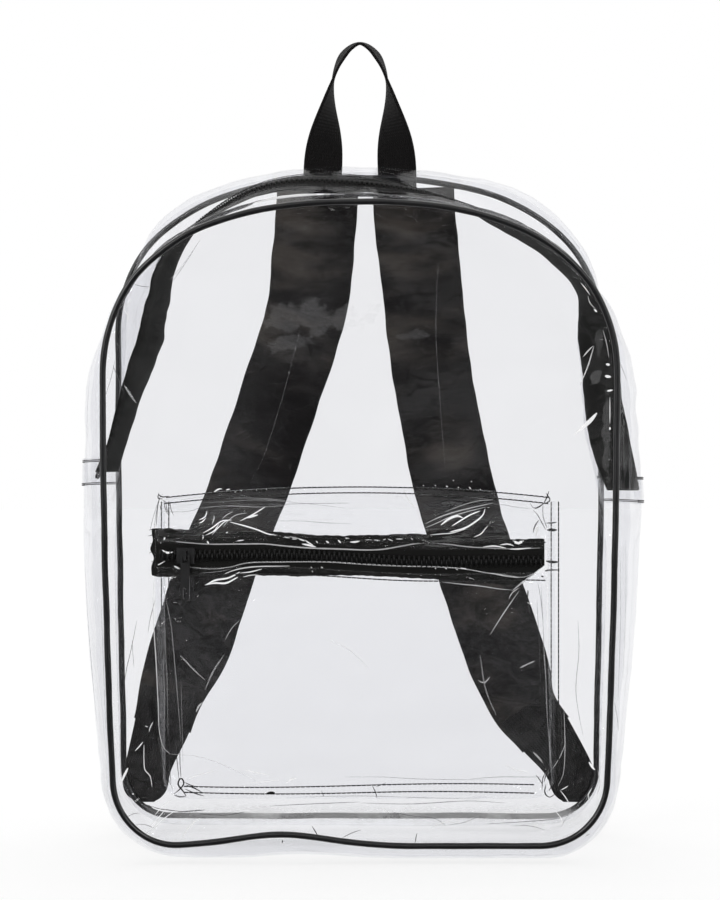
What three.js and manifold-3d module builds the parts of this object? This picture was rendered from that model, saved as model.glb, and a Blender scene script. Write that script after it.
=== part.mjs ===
// A clear vinyl backpack: a zipped main compartment edged with piping, a zipped box pocket on its front,
// two shoulder straps behind it and a haul loop on top.
// Units are millimetres. X runs across the bag, Y from its front to its back and Z up from the floor.
import * as THREE from "three";
import { mergeVertices } from "three/addons/utils/BufferGeometryUtils.js";
import Module from "manifold-3d";

// Body
const frontWidth = 320;
const frontFootWidth = 308;
const frontHeight = 401;
const backWidth = 326;
const backFootWidth = 318;
const backHeight = 430;
const bodyDepth = 125;
const footRadius = 42;
const backFootRadius = 32;
const shoulderHeight = 112;
const shoulderSquareness = 2.4;
const seamLift = 9.5;
const seamStagger = 0.011;
const frontCrown = 7;
const backCrown = 4;
const hemWaveHeight = 7;
const hemWaveWidth = 42;
const hemWaveSide = -48;

// Sheets, seams and gaps
const vinyl = 1;
const clearance = 0.3;
const pipingDiameter = 4;
const seamAllowance = 8;

// Zips
const tapeWidth = 30;
const tapeThickness = 0.8;
const coilWidth = 6;
const coilHeight = 1.8;
const zipOpening = 14;
const zipDepthShare = 0.45;
const zipRightEnd = 0.276;
const zipLeftEnd = 0.715;
const mainSliderAt = 0.7;
const zipTabWidth = 17;
const sliderLength = 11;
const sliderWidth = 9.6;
const sliderPlate = 1.2;
const bridgeWidth = 1.8;
const bridgeReach = 2.4;
const bridgeBar = 1;
const bridgeGap = 2.4;
const pullLength = 28;
const pullWidth = 5.6;
const pullThickness = 1.4;
const pullEyeWidth = 3;
const pullEyeLength = 3.7;
const pullSlotWidth = 2.2;
const pullSlotLength = 7;

// Pocket
const pocketWidth = 242;
const pocketHeight = 194;
const pocketFoot = 40;
const pocketDepth = 24;
const pocketCorner = 14;
const pocketLean = -5;
const pocketArch = 7;
const pocketZipDrop = 44;
const pocketZipSag = 3;
const pocketTapeInset = 2.5;
const pocketSliderInset = 20;

// Haul loop
const loopHeight = 91;
const loopSpacing = 50;
const webbingWidth = 26;
const loopThickness = 1.8;
const loopTail = 18;

// Shoulder straps
const strapWidth = 55;
const strapThickness = 3;
const strapBow = 44;
const strapNeck = 38;
const strapNeckLength = 34;
const strapWebbingWidth = 29;
const strapWebbingThickness = 1.6;
const strapWebbingOverlap = 24;
const strapWebbingFoot = 14; // how far it runs straight up from its foot

const pipingRadius = pipingDiameter / 2;
const frontY = -bodyDepth / 2;
const backY = bodyDepth / 2;
const seamInset = pipingRadius + clearance;

// How far the gusset stands out (positive) or buckles in, as shares of the body's depth. "at" is the way
// round the seam from the middle of the floor, over the right side and the top. The other columns lie at
// the depths in foldDepths, as shares of the way from the front seam to the back one.
const foldDepths = { edge: 0.07, near: 0.2, front: 0.36, back: 0.6, far: 0.84 };
const gussetFolds = [
  { at: 0.0, edge: 0.075, near: 0.09, front: 0.09, back: 0.09, far: 0.08 },
  { at: 0.05, edge: 0.075, near: 0.088, front: 0.09, back: 0.09, far: 0.08 },
  { at: 0.1, edge: 0.072, near: 0.095, front: 0.1, back: 0.1, far: 0.07 },
  { at: 0.125, edge: 0.055, near: 0.08, front: 0.085, back: 0.085, far: 0.05 },
  { at: 0.15, edge: 0.05, near: 0.085, front: 0.095, back: 0.09, far: 0.045 },
  { at: 0.2, edge: 0.07, near: 0.115, front: 0.133, back: 0.125, far: 0.06 },
  { at: 0.25, edge: 0.08, near: 0.135, front: 0.148, back: 0.13, far: 0.06 },
  { at: 0.275, edge: 0.085, near: 0.14, front: 0.14, back: 0.0, far: -0.03 },
  { at: 0.3, edge: 0.08, near: 0.13, front: 0.085, back: -0.1, far: -0.06 },
  { at: 0.325, edge: 0.07, near: 0.105, front: 0.03, back: -0.13, far: -0.07 },
  { at: 0.35, edge: 0.04, near: 0.06, front: 0.01, back: -0.145, far: -0.08 },
  { at: 0.375, edge: 0.01, near: 0.01, front: -0.005, back: -0.085, far: 0.02 },
  { at: 0.4, edge: 0.0, near: 0.0, front: -0.03, back: -0.1, far: 0.06 },
  { at: 0.43, edge: 0.0, near: 0.0, front: -0.03, back: -0.09, far: 0.09 },
  { at: 0.46, edge: 0.0, near: 0.0, front: 0.0, back: -0.02, far: 0.07 },
  { at: 0.5, edge: 0.01, near: 0.01, front: 0.02, back: 0.07, far: 0.075 },
  { at: 0.54, edge: 0.01, near: 0.02, front: 0.05, back: 0.075, far: 0.075 },
  { at: 0.575, edge: 0.01, near: 0.0, front: 0.0, back: -0.01, far: 0.075 },
  { at: 0.6, edge: 0.01, near: 0.0, front: -0.04, back: -0.14, far: 0.04 },
  { at: 0.625, edge: 0.01, near: -0.02, front: -0.14, back: -0.23, far: -0.05 },
  { at: 0.65, edge: 0.03, near: 0.02, front: -0.16, back: -0.25, far: -0.1 },
  { at: 0.675, edge: 0.07, near: 0.09, front: -0.09, back: -0.16, far: -0.07 },
  { at: 0.7, edge: 0.07, near: 0.1, front: -0.01, back: -0.07, far: -0.03 },
  { at: 0.722, edge: 0.075, near: 0.115, front: 0.09, back: 0.0, far: 0.0 },
  { at: 0.75, edge: 0.075, near: 0.12, front: 0.13, back: 0.12, far: 0.05 },
  { at: 0.8, edge: 0.07, near: 0.105, front: 0.12, back: 0.115, far: 0.055 },
  { at: 0.85, edge: 0.045, near: 0.075, front: 0.085, back: 0.08, far: 0.04 },
  { at: 0.875, edge: 0.045, near: 0.07, front: 0.075, back: 0.07, far: 0.04 },
  { at: 0.9, edge: 0.055, near: 0.085, front: 0.1, back: 0.1, far: 0.07 },
  { at: 0.95, edge: 0.1, near: 0.115, front: 0.115, back: 0.1, far: 0.08 },
];

// The straps' middle lines. "up" is a share of the back's height, "side" of half its width and "out" of
// the straps' bow.
const leftStrapRoute = [
  { up: 0.985, side: -0.174, out: 0.0 },
  { up: 0.94, side: -0.182, out: 0.06 },
  { up: 0.875, side: -0.199, out: 0.3 },
  { up: 0.804, side: -0.22, out: 0.58 },
  { up: 0.744, side: -0.267, out: 0.78 },
  { up: 0.67, side: -0.332, out: 0.92 },
  { up: 0.518, side: -0.469, out: 1.0 },
  { up: 0.363, side: -0.627, out: 0.96 },
  { up: 0.259, side: -0.719, out: 0.82 },
  { up: 0.188, side: -0.792, out: 0.64 },
  { up: 0.135, side: -0.83, out: 0.46 },
];
const rightStrapRoute = [
  { up: 0.985, side: 0.222, out: 0.0 },
  { up: 0.94, side: 0.227, out: 0.06 },
  { up: 0.875, side: 0.248, out: 0.3 },
  { up: 0.816, side: 0.266, out: 0.54 },
  { up: 0.731, side: 0.293, out: 0.8 },
  { up: 0.663, side: 0.319, out: 0.92 },
  { up: 0.508, side: 0.405, out: 1.0 },
  { up: 0.355, side: 0.52, out: 0.96 },
  { up: 0.213, side: 0.645, out: 0.74 },
  { up: 0.164, side: 0.692, out: 0.6 },
  { up: 0.12, side: 0.78, out: 0.44 },
];
const leftAnchor = { up: 0.03, side: -0.885 };
const rightAnchor = { up: 0.03, side: 0.875 };

// How far the pocket's face stands off the panel, from its foot to its top, as shares of its depth.
const pocketProfile = [
  { up: 0.0, off: 0.3 },
  { up: 0.3, off: 0.72 },
  { up: 0.62, off: 1.0 },
  { up: 0.86, off: 0.98 },
  { up: 1.0, off: 0.08 },
];

const vinylLook = new THREE.MeshStandardMaterial({ color: 0xe9eaee, roughness: 0.12, metalness: 0 });
const pipingLook = new THREE.MeshStandardMaterial({ color: 0x141416, roughness: 0.35, metalness: 0 });
const tapeLook = new THREE.MeshStandardMaterial({ color: 0x121211, roughness: 0.8, metalness: 0 });
const coilLook = new THREE.MeshStandardMaterial({ color: 0x151515, roughness: 0.45, metalness: 0 });
const strapLook = new THREE.MeshStandardMaterial({ color: 0x242226, roughness: 0.6, metalness: 0 });
const webbingLook = new THREE.MeshStandardMaterial({ color: 0x121112, roughness: 0.85, metalness: 0 });
const hardwareLook = new THREE.MeshStandardMaterial({ color: 0x101011, roughness: 0.4, metalness: 0.1 });

const wasm = await Module();
wasm.setup();
const bag = new THREE.Group();

function add(name, geometry, material) {
  const mesh = new THREE.Mesh(geometry, material);
  mesh.name = name;
  bag.add(mesh);
  return mesh;
}

// Joining and cutting

function solidOf(geometry) {
  const bare = geometry.clone();
  bare.deleteAttribute("normal");
  bare.deleteAttribute("uv");
  const merged = mergeVertices(bare, 1e-4);
  const mesh = new wasm.Mesh({
    numProp: 3,
    vertProperties: new Float32Array(merged.attributes.position.array),
    triVerts: new Uint32Array(merged.index.array),
  });
  return new wasm.Manifold(mesh);
}

function geometryOf(solid) {
  const mesh = solid.getMesh();
  const geometry = new THREE.BufferGeometry();
  geometry.setAttribute("position", new THREE.BufferAttribute(mesh.vertProperties, 3));
  geometry.setIndex(new THREE.BufferAttribute(mesh.triVerts, 1));
  return geometry;
}

// A block between two corners.
function block(low, high) {
  const size = high.map((value, axis) => value - low[axis]);
  const centre = high.map((value, axis) => (value + low[axis]) / 2);
  return solidOf(new THREE.BoxGeometry(...size).translate(...centre));
}

// Curves

const evenly = (from, to, count) =>
  Array.from({ length: count + 1 }, (_, i) => from + ((to - from) * i) / count);

function catmullRom(before, from, to, after, share) {
  const bend = 2 * before - 5 * from + 4 * to - after;
  const twist = 3 * (from - to) + after - before;
  return from + 0.5 * share * (to - before + share * (bend + share * twist));
}

// A smooth reading of a column of a table whose rows are in the order of their key.
function readTable(table, key, column, value) {
  const last = table.length - 1;
  let row = 0;
  while (row < last - 1 && table[row + 1][key] < value) row++;
  const share = (value - table[row][key]) / (table[row + 1][key] - table[row][key]);
  const take = (index) => table[Math.min(last, Math.max(0, index))][column];
  return catmullRom(take(row - 1), take(row), take(row + 1), take(row + 2), share);
}

// The same for a table that goes round, whose last row leads back to its first.
function readRing(table, column, value) {
  const turn = table.length;
  const share = value - Math.floor(value);
  let row = turn - 1;
  while (row > 0 && table[row].at > share) row--;
  const next = row + 1 < turn ? table[row + 1].at : table[0].at + 1;
  const take = (index) => table[(index + turn) % turn][column];
  const along = (share - table[row].at) / (next - table[row].at);
  return catmullRom(take(row - 1), take(row), take(row + 1), take(row + 2), along);
}

// A closed line of 2-D points, read by the share of its length.
function loopOf(points) {
  const lengths = [0];
  for (let i = 1; i <= points.length; i++) {
    lengths.push(lengths[i - 1] + points[i - 1].distanceTo(points[i % points.length]));
  }
  const total = lengths[points.length];
  function at(share) {
    const along = (share - Math.floor(share)) * total;
    let i = 0;
    while (i < points.length - 1 && lengths[i + 1] < along) i++;
    const part = (along - lengths[i]) / (lengths[i + 1] - lengths[i]);
    return points[i].clone().lerp(points[(i + 1) % points.length], part);
  }
  at.total = total;
  return at;
}

// Meshes

// A closed solid from a grid of frames, each a point and the direction of the sheet's outer face.
// The sheet lies from "lift" less half its thickness to "lift" plus half of it.
function sheetSolid(grid, thickness, lift = 0, closed = false) {
  const rows = grid.length;
  const columns = grid[0].length;
  const positions = [];
  for (const side of [0.5, -0.5]) {
    for (const row of grid) {
      for (const { point, normal } of row) {
        const place = point.clone().addScaledVector(normal, lift + side * thickness);
        positions.push(place.x, place.y, place.z);
      }
    }
  }
  const under = rows * columns;
  const vertex = (i, j) => (i % rows) * columns + j;
  const faces = [];
  const quad = (a, b, c, d) => faces.push(a, b, c, a, c, d);
  const spans = closed ? rows : rows - 1;
  for (let i = 0; i < spans; i++) {
    for (let j = 0; j < columns - 1; j++) {
      const [a, b, c, d] = [vertex(i, j), vertex(i, j + 1), vertex(i + 1, j + 1), vertex(i + 1, j)];
      quad(a, b, c, d);
      quad(a + under, d + under, c + under, b + under);
    }
    const [a, b] = [vertex(i, 0), vertex(i + 1, 0)];
    quad(a, b, b + under, a + under);
    const [c, d] = [vertex(i, columns - 1), vertex(i + 1, columns - 1)];
    quad(d, c, c + under, d + under);
  }
  if (!closed) {
    for (let j = 0; j < columns - 1; j++) {
      const [a, b] = [vertex(0, j), vertex(0, j + 1)];
      quad(b, a, a + under, b + under);
      const [c, d] = [vertex(rows - 1, j), vertex(rows - 1, j + 1)];
      quad(c, d, d + under, c + under);
    }
  }
  const geometry = new THREE.BufferGeometry();
  geometry.setAttribute("position", new THREE.Float32BufferAttribute(positions, 3));
  geometry.setIndex(faces);
  return geometry;
}

// A closed solid through convex sections of the same number of points, capped unless it goes round.
function loftSolid(sections, closed = false) {
  const rows = sections.length;
  const count = sections[0].length;
  const positions = sections.flatMap((section) => section.flatMap((p) => [p.x, p.y, p.z]));
  const faces = [];
  const spans = closed ? rows : rows - 1;
  for (let i = 0; i < spans; i++) {
    for (let j = 0; j < count; j++) {
      const [a, b] = [i * count + j, i * count + ((j + 1) % count)];
      const next = ((i + 1) % rows) * count;
      const [c, d] = [next + ((j + 1) % count), next + j];
      faces.push(a, b, c, a, c, d);
    }
  }
  if (!closed) {
    const end = (rows - 1) * count;
    for (let j = 1; j < count - 1; j++) {
      faces.push(0, j + 1, j, end, end + j, end + j + 1);
    }
  }
  const geometry = new THREE.BufferGeometry();
  geometry.setAttribute("position", new THREE.Float32BufferAttribute(positions, 3));
  geometry.setIndex(faces);
  return geometry;
}

// Seams

// The arch that the front and back are cut to, from the middle of its foot round to the right.
function archPoints(width, footWidth, height, corner) {
  const right = [];
  const half = width / 2;
  const footHalf = footWidth / 2;
  const sideTop = seamLift + height - shoulderHeight;
  const steps = { foot: 10, corner: 10, side: 14, arch: 36 };
  for (let i = 0; i < steps.foot; i++) {
    right.push(new THREE.Vector2((i / steps.foot) * (footHalf - corner), seamLift));
  }
  for (let i = 0; i < steps.corner; i++) {
    const turn = (i / steps.corner - 1) * (Math.PI / 2);
    const [across, up] = [Math.cos(turn) * corner, Math.sin(turn) * corner];
    right.push(new THREE.Vector2(footHalf - corner + across, seamLift + corner + up));
  }
  for (let i = 0; i < steps.side; i++) {
    const share = i / steps.side;
    const swell = Math.sin((share * Math.PI) / 2);
    const z = THREE.MathUtils.lerp(seamLift + corner, sideTop, share);
    right.push(new THREE.Vector2(footHalf + (half - footHalf) * swell, z));
  }
  for (let i = 0; i <= steps.arch; i++) {
    const turn = ((i / steps.arch) * Math.PI) / 2;
    const across = Math.cos(turn) ** (2 / shoulderSquareness);
    const up = Math.sin(turn) ** (2 / shoulderSquareness);
    right.push(new THREE.Vector2(half * across, sideTop + shoulderHeight * up));
  }
  const left = right.slice(1, -1).reverse();
  return [...right, ...left.map((p) => new THREE.Vector2(-p.x, p.y))];
}

// The front hem lifts in one soft wave between its corners.
function hemWave(x, z) {
  const nearFloor = Math.max(0, 1 - (z - seamLift) / (footRadius * 2));
  return hemWaveHeight * Math.exp(-(((x - hemWaveSide) / hemWaveWidth) ** 2)) * nearFloor;
}

const frontArch = archPoints(frontWidth, frontFootWidth, frontHeight, footRadius);
for (const p of frontArch) p.y += hemWave(p.x, p.y);
const frontSeam = loopOf(frontArch);
const backLoop = loopOf(archPoints(backWidth, backFootWidth, backHeight, backFootRadius));
// The back seam is the longer one, and this keeps the gusset's lines from one seam to the other level.
const backSeam = (share) => backLoop(share - seamStagger * Math.sin(share * 2 * Math.PI));
const seamLength = frontSeam.total;

// The way out of a seam, in its own plane.
function outwardAt(seam, share) {
  const step = 0.002;
  const ahead = seam(share + step).sub(seam(share - step));
  return new THREE.Vector2(ahead.y, -ahead.x).normalize();
}

// Places round the seam, closer together where it turns.
function seamStations() {
  const samples = 720;
  const spacing = 31;
  const turning = 0.31;
  const effort = [0];
  for (let i = 1; i <= samples; i++) {
    const [from, to] = [frontSeam((i - 1) / samples), frontSeam(i / samples)];
    const turn = outwardAt(frontSeam, (i - 1) / samples).angleTo(outwardAt(frontSeam, i / samples));
    effort.push(effort[i - 1] + from.distanceTo(to) / spacing + turn / turning);
  }
  const count = Math.round(effort[samples]);
  const stations = [];
  let i = 0;
  for (let k = 0; k < count; k++) {
    while (effort[i + 1] <= (k * effort[samples]) / count) i++;
    stations.push(i / samples);
  }
  return stations;
}
const stations = seamStations();

// The stations between two places on the seam, with those places themselves at the ends and any others
// that are asked for.
function stationsBetween(from, to, others = []) {
  const near = 0.006;
  const kept = [from, ...others, to];
  const between = stations.concat(stations.map((s) => s + 1)).filter((s) => s > from && s < to);
  const apart = between.filter((s) => kept.every((other) => Math.abs(s - other) > near));
  return [...kept, ...apart].sort((a, b) => a - b);
}

// A point of the gusset, "depth" of the way from the front seam to the back one.
function gussetPoint(share, depth) {
  const seat = frontSeam(share).lerp(backSeam(share), depth);
  const outward = outwardAt(frontSeam, share).lerp(outwardAt(backSeam, share), depth).normalize();
  const folds = Object.entries(foldDepths).map(([name, at]) => {
    return { depth: at, out: readRing(gussetFolds, name, share) };
  });
  const across = [{ depth: 0, out: 0 }, ...folds, { depth: 1, out: 0 }];
  const offset = readTable(across, "depth", "out", depth);
  seat.addScaledVector(outward, offset * bodyDepth);
  const floorLevel = vinyl / 2;
  return new THREE.Vector3(seat.x, frontY + depth * bodyDepth, Math.max(floorLevel, seat.y));
}

// The same point with the direction of the gusset's outer face.
function gussetFrame(share, depth) {
  const step = 0.004;
  const [low, high] = [Math.max(0, depth - step), Math.min(1, depth + step)];
  const back = gussetPoint(share, high).sub(gussetPoint(share, low));
  const ahead = gussetPoint(share + step, depth).sub(gussetPoint(share - step, depth));
  return { point: gussetPoint(share, depth), normal: back.cross(ahead).normalize() };
}

function gussetSheet(shares, depths, thickness, lift, closed) {
  const grid = shares.map((share) => depths.map((depth) => gussetFrame(share, depth)));
  return sheetSolid(grid, thickness, lift, closed);
}

// Depths across the gusset that the sheets on it share, so that their facets lie parallel.
const edgeDepth = seamInset / bodyDepth;
const seamDepth = edgeDepth + seamAllowance / bodyDepth;
const openingHalf = zipOpening / 2 / bodyDepth;
const tapeHalf = tapeWidth / 2 / bodyDepth;
const [tapeFront, openFront, openBack, tapeBack] = [-tapeHalf, -openingHalf, openingHalf, tapeHalf].map(
  (d) => zipDepthShare + d,
);
const frontDepths = [edgeDepth, seamDepth, 0.2, tapeFront, openFront];
const backDepths = [openBack, tapeBack, 0.76, 1 - seamDepth, 1 - edgeDepth];
const gussetDepths = [...frontDepths, zipDepthShare, ...backDepths];
const coilDepths = [-0.5, 0, 0.5].map((side) => zipDepthShare + (side * coilWidth) / bodyDepth);
const tapeLift = -(vinyl / 2 + clearance + tapeThickness / 2);
const coilSeat = clearance * 1.4;

const tabHalf = zipTabWidth / 2 / seamLength;
const sliderHalf = sliderLength / 2 / seamLength;
const zipEndGap = clearance / seamLength;
const aboveZipShares = stationsBetween(zipRightEnd + zipEndGap, zipLeftEnd - zipEndGap, [
  zipRightEnd + tabHalf,
  mainSliderAt - sliderHalf,
  mainSliderAt + sliderHalf,
  zipLeftEnd - tabHalf,
]);
const coilShares = [
  zipRightEnd + tabHalf + zipEndGap,
  ...aboveZipShares.slice(2, -2),
  zipLeftEnd - tabHalf - zipEndGap,
];

function addGusset() {
  const lowerTabs = [zipLeftEnd + tabHalf, 1 + zipRightEnd - tabHalf];
  const lowerShares = stationsBetween(zipLeftEnd, 1 + zipRightEnd, lowerTabs);
  add("lower_gusset", gussetSheet(lowerShares, gussetDepths, vinyl, 0, false), vinylLook);
  add("front_zip_strip", gussetSheet(aboveZipShares, frontDepths, vinyl, 0, false), vinylLook);
  add("back_zip_strip", gussetSheet(aboveZipShares, backDepths, vinyl, 0, false), vinylLook);

  const tapeDepths = [tapeFront, openFront, zipDepthShare, openBack, tapeBack];
  const tape = gussetSheet(aboveZipShares, tapeDepths, tapeThickness, tapeLift, false);
  add("main_zip_tape", tape, tapeLook);
  const coilLift = tapeLift + tapeThickness / 2 + coilSeat + coilHeight / 2;
  add("main_zip_coil", gussetSheet(coilShares, coilDepths, coilHeight, coilLift, false), coilLook);

  const tabDepths = gussetDepths.slice(1, -1);
  for (const [side, at] of [["right", zipRightEnd], ["left", zipLeftEnd]]) {
    const shares = [at - tabHalf, at, at + tabHalf];
    const tab = gussetSheet(shares, tabDepths, vinyl, vinyl + clearance * 2, false);
    add(side + "_zip_end_tab", tab, vinylLook);
  }
}

function addPiping(name, seam, y) {
  const sides = 6;
  const sections = stations.map((share) => {
    const centre = seam(share);
    const outward = outwardAt(seam, share);
    return Array.from({ length: sides }, (_, side) => {
      const turn = (side / sides) * 2 * Math.PI;
      const across = Math.cos(turn) * pipingRadius;
      const place = centre.clone().addScaledVector(outward, across);
      return new THREE.Vector3(place.x, y + Math.sin(turn) * pipingRadius, place.y);
    });
  });
  add(name, loftSolid(sections, true), pipingLook);
}

// Panels

const frontMiddle = new THREE.Vector2(0, seamLift + frontHeight / 2);
const backMiddle = new THREE.Vector2(0, seamLift + backHeight / 2);

// How far into a panel a point lies, from 0 at its edge to 1 in its middle.
function shareIn(seam, middle, x, z) {
  const arm = new THREE.Vector2(x, z).sub(middle);
  if (arm.length() < 1) return 1;
  const samples = 96;
  let best = 0;
  let least = Infinity;
  for (let i = 0; i < samples; i++) {
    const miss = seam(i / samples).sub(middle).angleTo(arm);
    if (miss < least) [best, least] = [i / samples, miss];
  }
  for (let step = 0.5 / samples; step > 1e-5; step /= 2) {
    for (const share of [best - step, best + step]) {
      const miss = seam(share).sub(middle).angleTo(arm);
      if (miss < least) [best, least] = [share, miss];
    }
  }
  return Math.max(0, 1 - arm.length() / seam(best).distanceTo(middle));
}

const crownShare = (share) => Math.sin((Math.min(1, share) * Math.PI) / 2);

// The front panel's middle surface.
function frontPanelY(x, z) {
  return frontY - frontCrown * crownShare(shareIn(frontSeam, frontMiddle, x, z));
}

function addPanel(name, seam, middle, y, crown, facing) {
  const rings = [0, 0.2, 0.52];
  const positions = [];
  const place = (p, share, side) => {
    const bulge = facing * (crown * crownShare(share) + (side * vinyl) / 2);
    positions.push(p.x, y + bulge, p.y);
  };
  for (const side of [1, -1]) {
    for (const ring of rings) {
      for (const share of stations) {
        const edge = seam(share).addScaledVector(outwardAt(seam, share), -seamInset);
        place(edge.lerp(middle, ring), ring, side);
      }
    }
    place(middle, 1, side);
  }
  const count = stations.length;
  const under = rings.length * count + 1;
  const faces = [];
  const face = (a, b, c) => {
    faces.push(...(facing < 0 ? [a, b, c] : [a, c, b]));
    faces.push(...(facing < 0 ? [a + under, c + under, b + under] : [a + under, b + under, c + under]));
  };
  for (let i = 0; i < count; i++) {
    const next = (i + 1) % count;
    for (let ring = 0; ring < rings.length - 1; ring++) {
      const [outer, inner] = [ring * count, (ring + 1) * count];
      face(outer + i, outer + next, inner + next);
      face(outer + i, inner + next, inner + i);
    }
    const last = (rings.length - 1) * count;
    face(last + i, last + next, under - 1);
    const wall = [i, i + under, next + under, i, next + under, next];
    faces.push(...(facing < 0 ? wall : wall.reverse()));
  }
  const geometry = new THREE.BufferGeometry();
  geometry.setAttribute("position", new THREE.Float32BufferAttribute(positions, 3));
  geometry.setIndex(faces);
  add(name, geometry, vinylLook);
}

// Zip hardware, made with X along the coil, Z out of the tape and the tape's face at Z 0

const channelTop = coilSeat + coilHeight + clearance;
const coverTop = channelTop + sliderPlate;
const pinHeight = coverTop + bridgeGap / 2;

function sliderSolid(bridgeAlong) {
  const [halfLength, halfWidth] = [sliderLength / 2, sliderWidth / 2];
  const channelHalf = coilWidth / 2 + clearance;
  const cover = block([-halfLength, -halfWidth, clearance], [halfLength, halfWidth, coverTop]);
  const channel = block([-sliderLength, -channelHalf, 0], [sliderLength, channelHalf, channelTop]);
  const reach = bridgeReach + bridgeBar / 2;
  const arch = block([-reach, -bridgeWidth / 2, coverTop - sliderPlate / 2], [
    reach,
    bridgeWidth / 2,
    coverTop + bridgeGap + bridgeBar,
  ]);
  const openHalf = bridgeReach - bridgeBar / 2;
  const open = block([-openHalf, -bridgeWidth, coverTop], [openHalf, bridgeWidth, coverTop + bridgeGap]);
  const bridge = arch.subtract(open).rotate([0, 0, bridgeAlong ? 0 : 90]);
  return cover.subtract(channel).add(bridge);
}

// The pull's pin lies on the origin along Y, and its tab runs out along X.
function pullSolid() {
  const rim = pullThickness / 2;
  const half = pullWidth / 2;
  const outline = new THREE.Shape();
  outline.moveTo(-rim, -half);
  outline.lineTo(pullLength - half, -half);
  outline.absarc(pullLength - half, 0, half, -Math.PI / 2, Math.PI / 2, false);
  outline.lineTo(-rim, half);
  outline.closePath();
  const eye = new THREE.Path();
  eye.moveTo(rim, -pullEyeWidth / 2);
  eye.lineTo(rim, pullEyeWidth / 2);
  eye.lineTo(rim + pullEyeLength, pullEyeWidth / 2);
  eye.lineTo(rim + pullEyeLength, -pullEyeWidth / 2);
  eye.closePath();
  const slotRadius = pullSlotWidth / 2;
  const slotEnd = pullLength - half;
  const slotStart = slotEnd - pullSlotLength + pullSlotWidth;
  const slot = new THREE.Path();
  slot.absarc(slotEnd, 0, slotRadius, Math.PI / 2, -Math.PI / 2, true);
  slot.absarc(slotStart, 0, slotRadius, -Math.PI / 2, Math.PI / 2, true);
  slot.closePath();
  outline.holes.push(eye, slot);
  const depth = pullThickness;
  const plate = new THREE.ExtrudeGeometry(outline, { depth, bevelEnabled: false, curveSegments: 6 });
  return solidOf(plate.translate(0, 0, -depth / 2));
}

// Places a solid by the directions of its own X and Z.
function placed(solid, origin, alongX, alongZ) {
  const x = alongX.clone().normalize();
  const z = alongZ.clone().addScaledVector(x, -alongZ.dot(x)).normalize();
  const basis = new THREE.Matrix4().makeBasis(x, new THREE.Vector3().crossVectors(z, x), z);
  return geometryOf(solid).applyMatrix4(basis.setPosition(origin));
}

function addMainSlider() {
  const seat = gussetFrame(mainSliderAt, zipDepthShare);
  const [below, above] = [mainSliderAt + sliderHalf, mainSliderAt - sliderHalf];
  const down = gussetPoint(below, zipDepthShare).sub(gussetPoint(above, zipDepthShare));
  const tapeFace = tapeLift + tapeThickness / 2;
  const foot = seat.point.clone().addScaledVector(seat.normal, tapeFace);
  // The zip curves under the slider, so the slider is cut to it.
  const beside = (coilWidth / 2 + clearance) / bodyDepth;
  const roomDepths = [-beside, 0, beside].map((d) => zipDepthShare + d);
  const coilRoom = gussetSheet(coilShares, roomDepths, channelTop, tapeFace + channelTop / 2, false);
  const tapeRoom = gussetSheet(
    aboveZipShares,
    [tapeFront, openFront, zipDepthShare, openBack, tapeBack],
    tapeThickness + clearance * 2,
    tapeLift,
    false,
  );
  const slider = solidOf(placed(sliderSolid(true), foot, down, seat.normal));
  const cut = slider.subtract(solidOf(coilRoom)).subtract(solidOf(tapeRoom));
  add("main_zip_slider", geometryOf(cut), hardwareLook);
  // The pull leans on the zip's end tab.
  const pin = foot.clone().addScaledVector(seat.normal, pinHeight);
  const tab = gussetFrame(zipLeftEnd + tabHalf, zipDepthShare);
  const lean = tab.point.addScaledVector(tab.normal, vinyl * 1.5 + pullThickness + clearance * 4).sub(pin);
  add("main_zip_pull", placed(pullSolid(), pin, lean, seat.normal), hardwareLook);
}

// Pocket

const pocketTop = pocketFoot + pocketHeight;
const pocketHalf = pocketWidth / 2;
const pocketZip = pocketTop - pocketZipDrop;
const pocketBaseGap = vinyl + clearance * 1.5;

const upPocket = (z) => (z - pocketFoot) / pocketHeight;
const pocketOff = (z) => pocketDepth * readTable(pocketProfile, "up", "off", upPocket(z));

// The zip's line dips towards the right and waves a little.
function pocketZipZ(x) {
  const share = x / pocketHalf;
  return pocketZip - pocketZipSag * (share + 0.35 * Math.sin(share * 5));
}

// The pocket's top edge arches between its corners.
const pocketTopZ = (x) => pocketTop - pocketArch * (x / pocketHalf) ** 2;

// A point of the pocket's face, and the way out of it.
function pocketFrame(x, z) {
  const point = (px, pz) => new THREE.Vector3(px + pocketLean * shift(pz), faceY(px, pz), pz);
  const shift = (pz) => Math.min(1, pocketOff(pz) / pocketDepth);
  const faceY = (px, pz) => frontPanelY(px, pz) - pocketBaseGap - pocketOff(pz);
  const step = 0.5;
  const across = point(x + step, z).sub(point(x - step, z));
  const up = point(x, z + step).sub(point(x, z - step));
  return { point: point(x, z), normal: across.cross(up).normalize() };
}

// A sheet of the pocket's face between two lines across it.
function pocketSheet(lowLine, highLine, rows, thickness, lift, half) {
  const columns = evenly(-half, half, 14);
  const grid = evenly(0, 1, rows).map((share) =>
    columns.map((x) => pocketFrame(x, THREE.MathUtils.lerp(lowLine(x), highLine(x), share))),
  );
  return sheetSolid(grid, thickness, lift, false);
}

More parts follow.
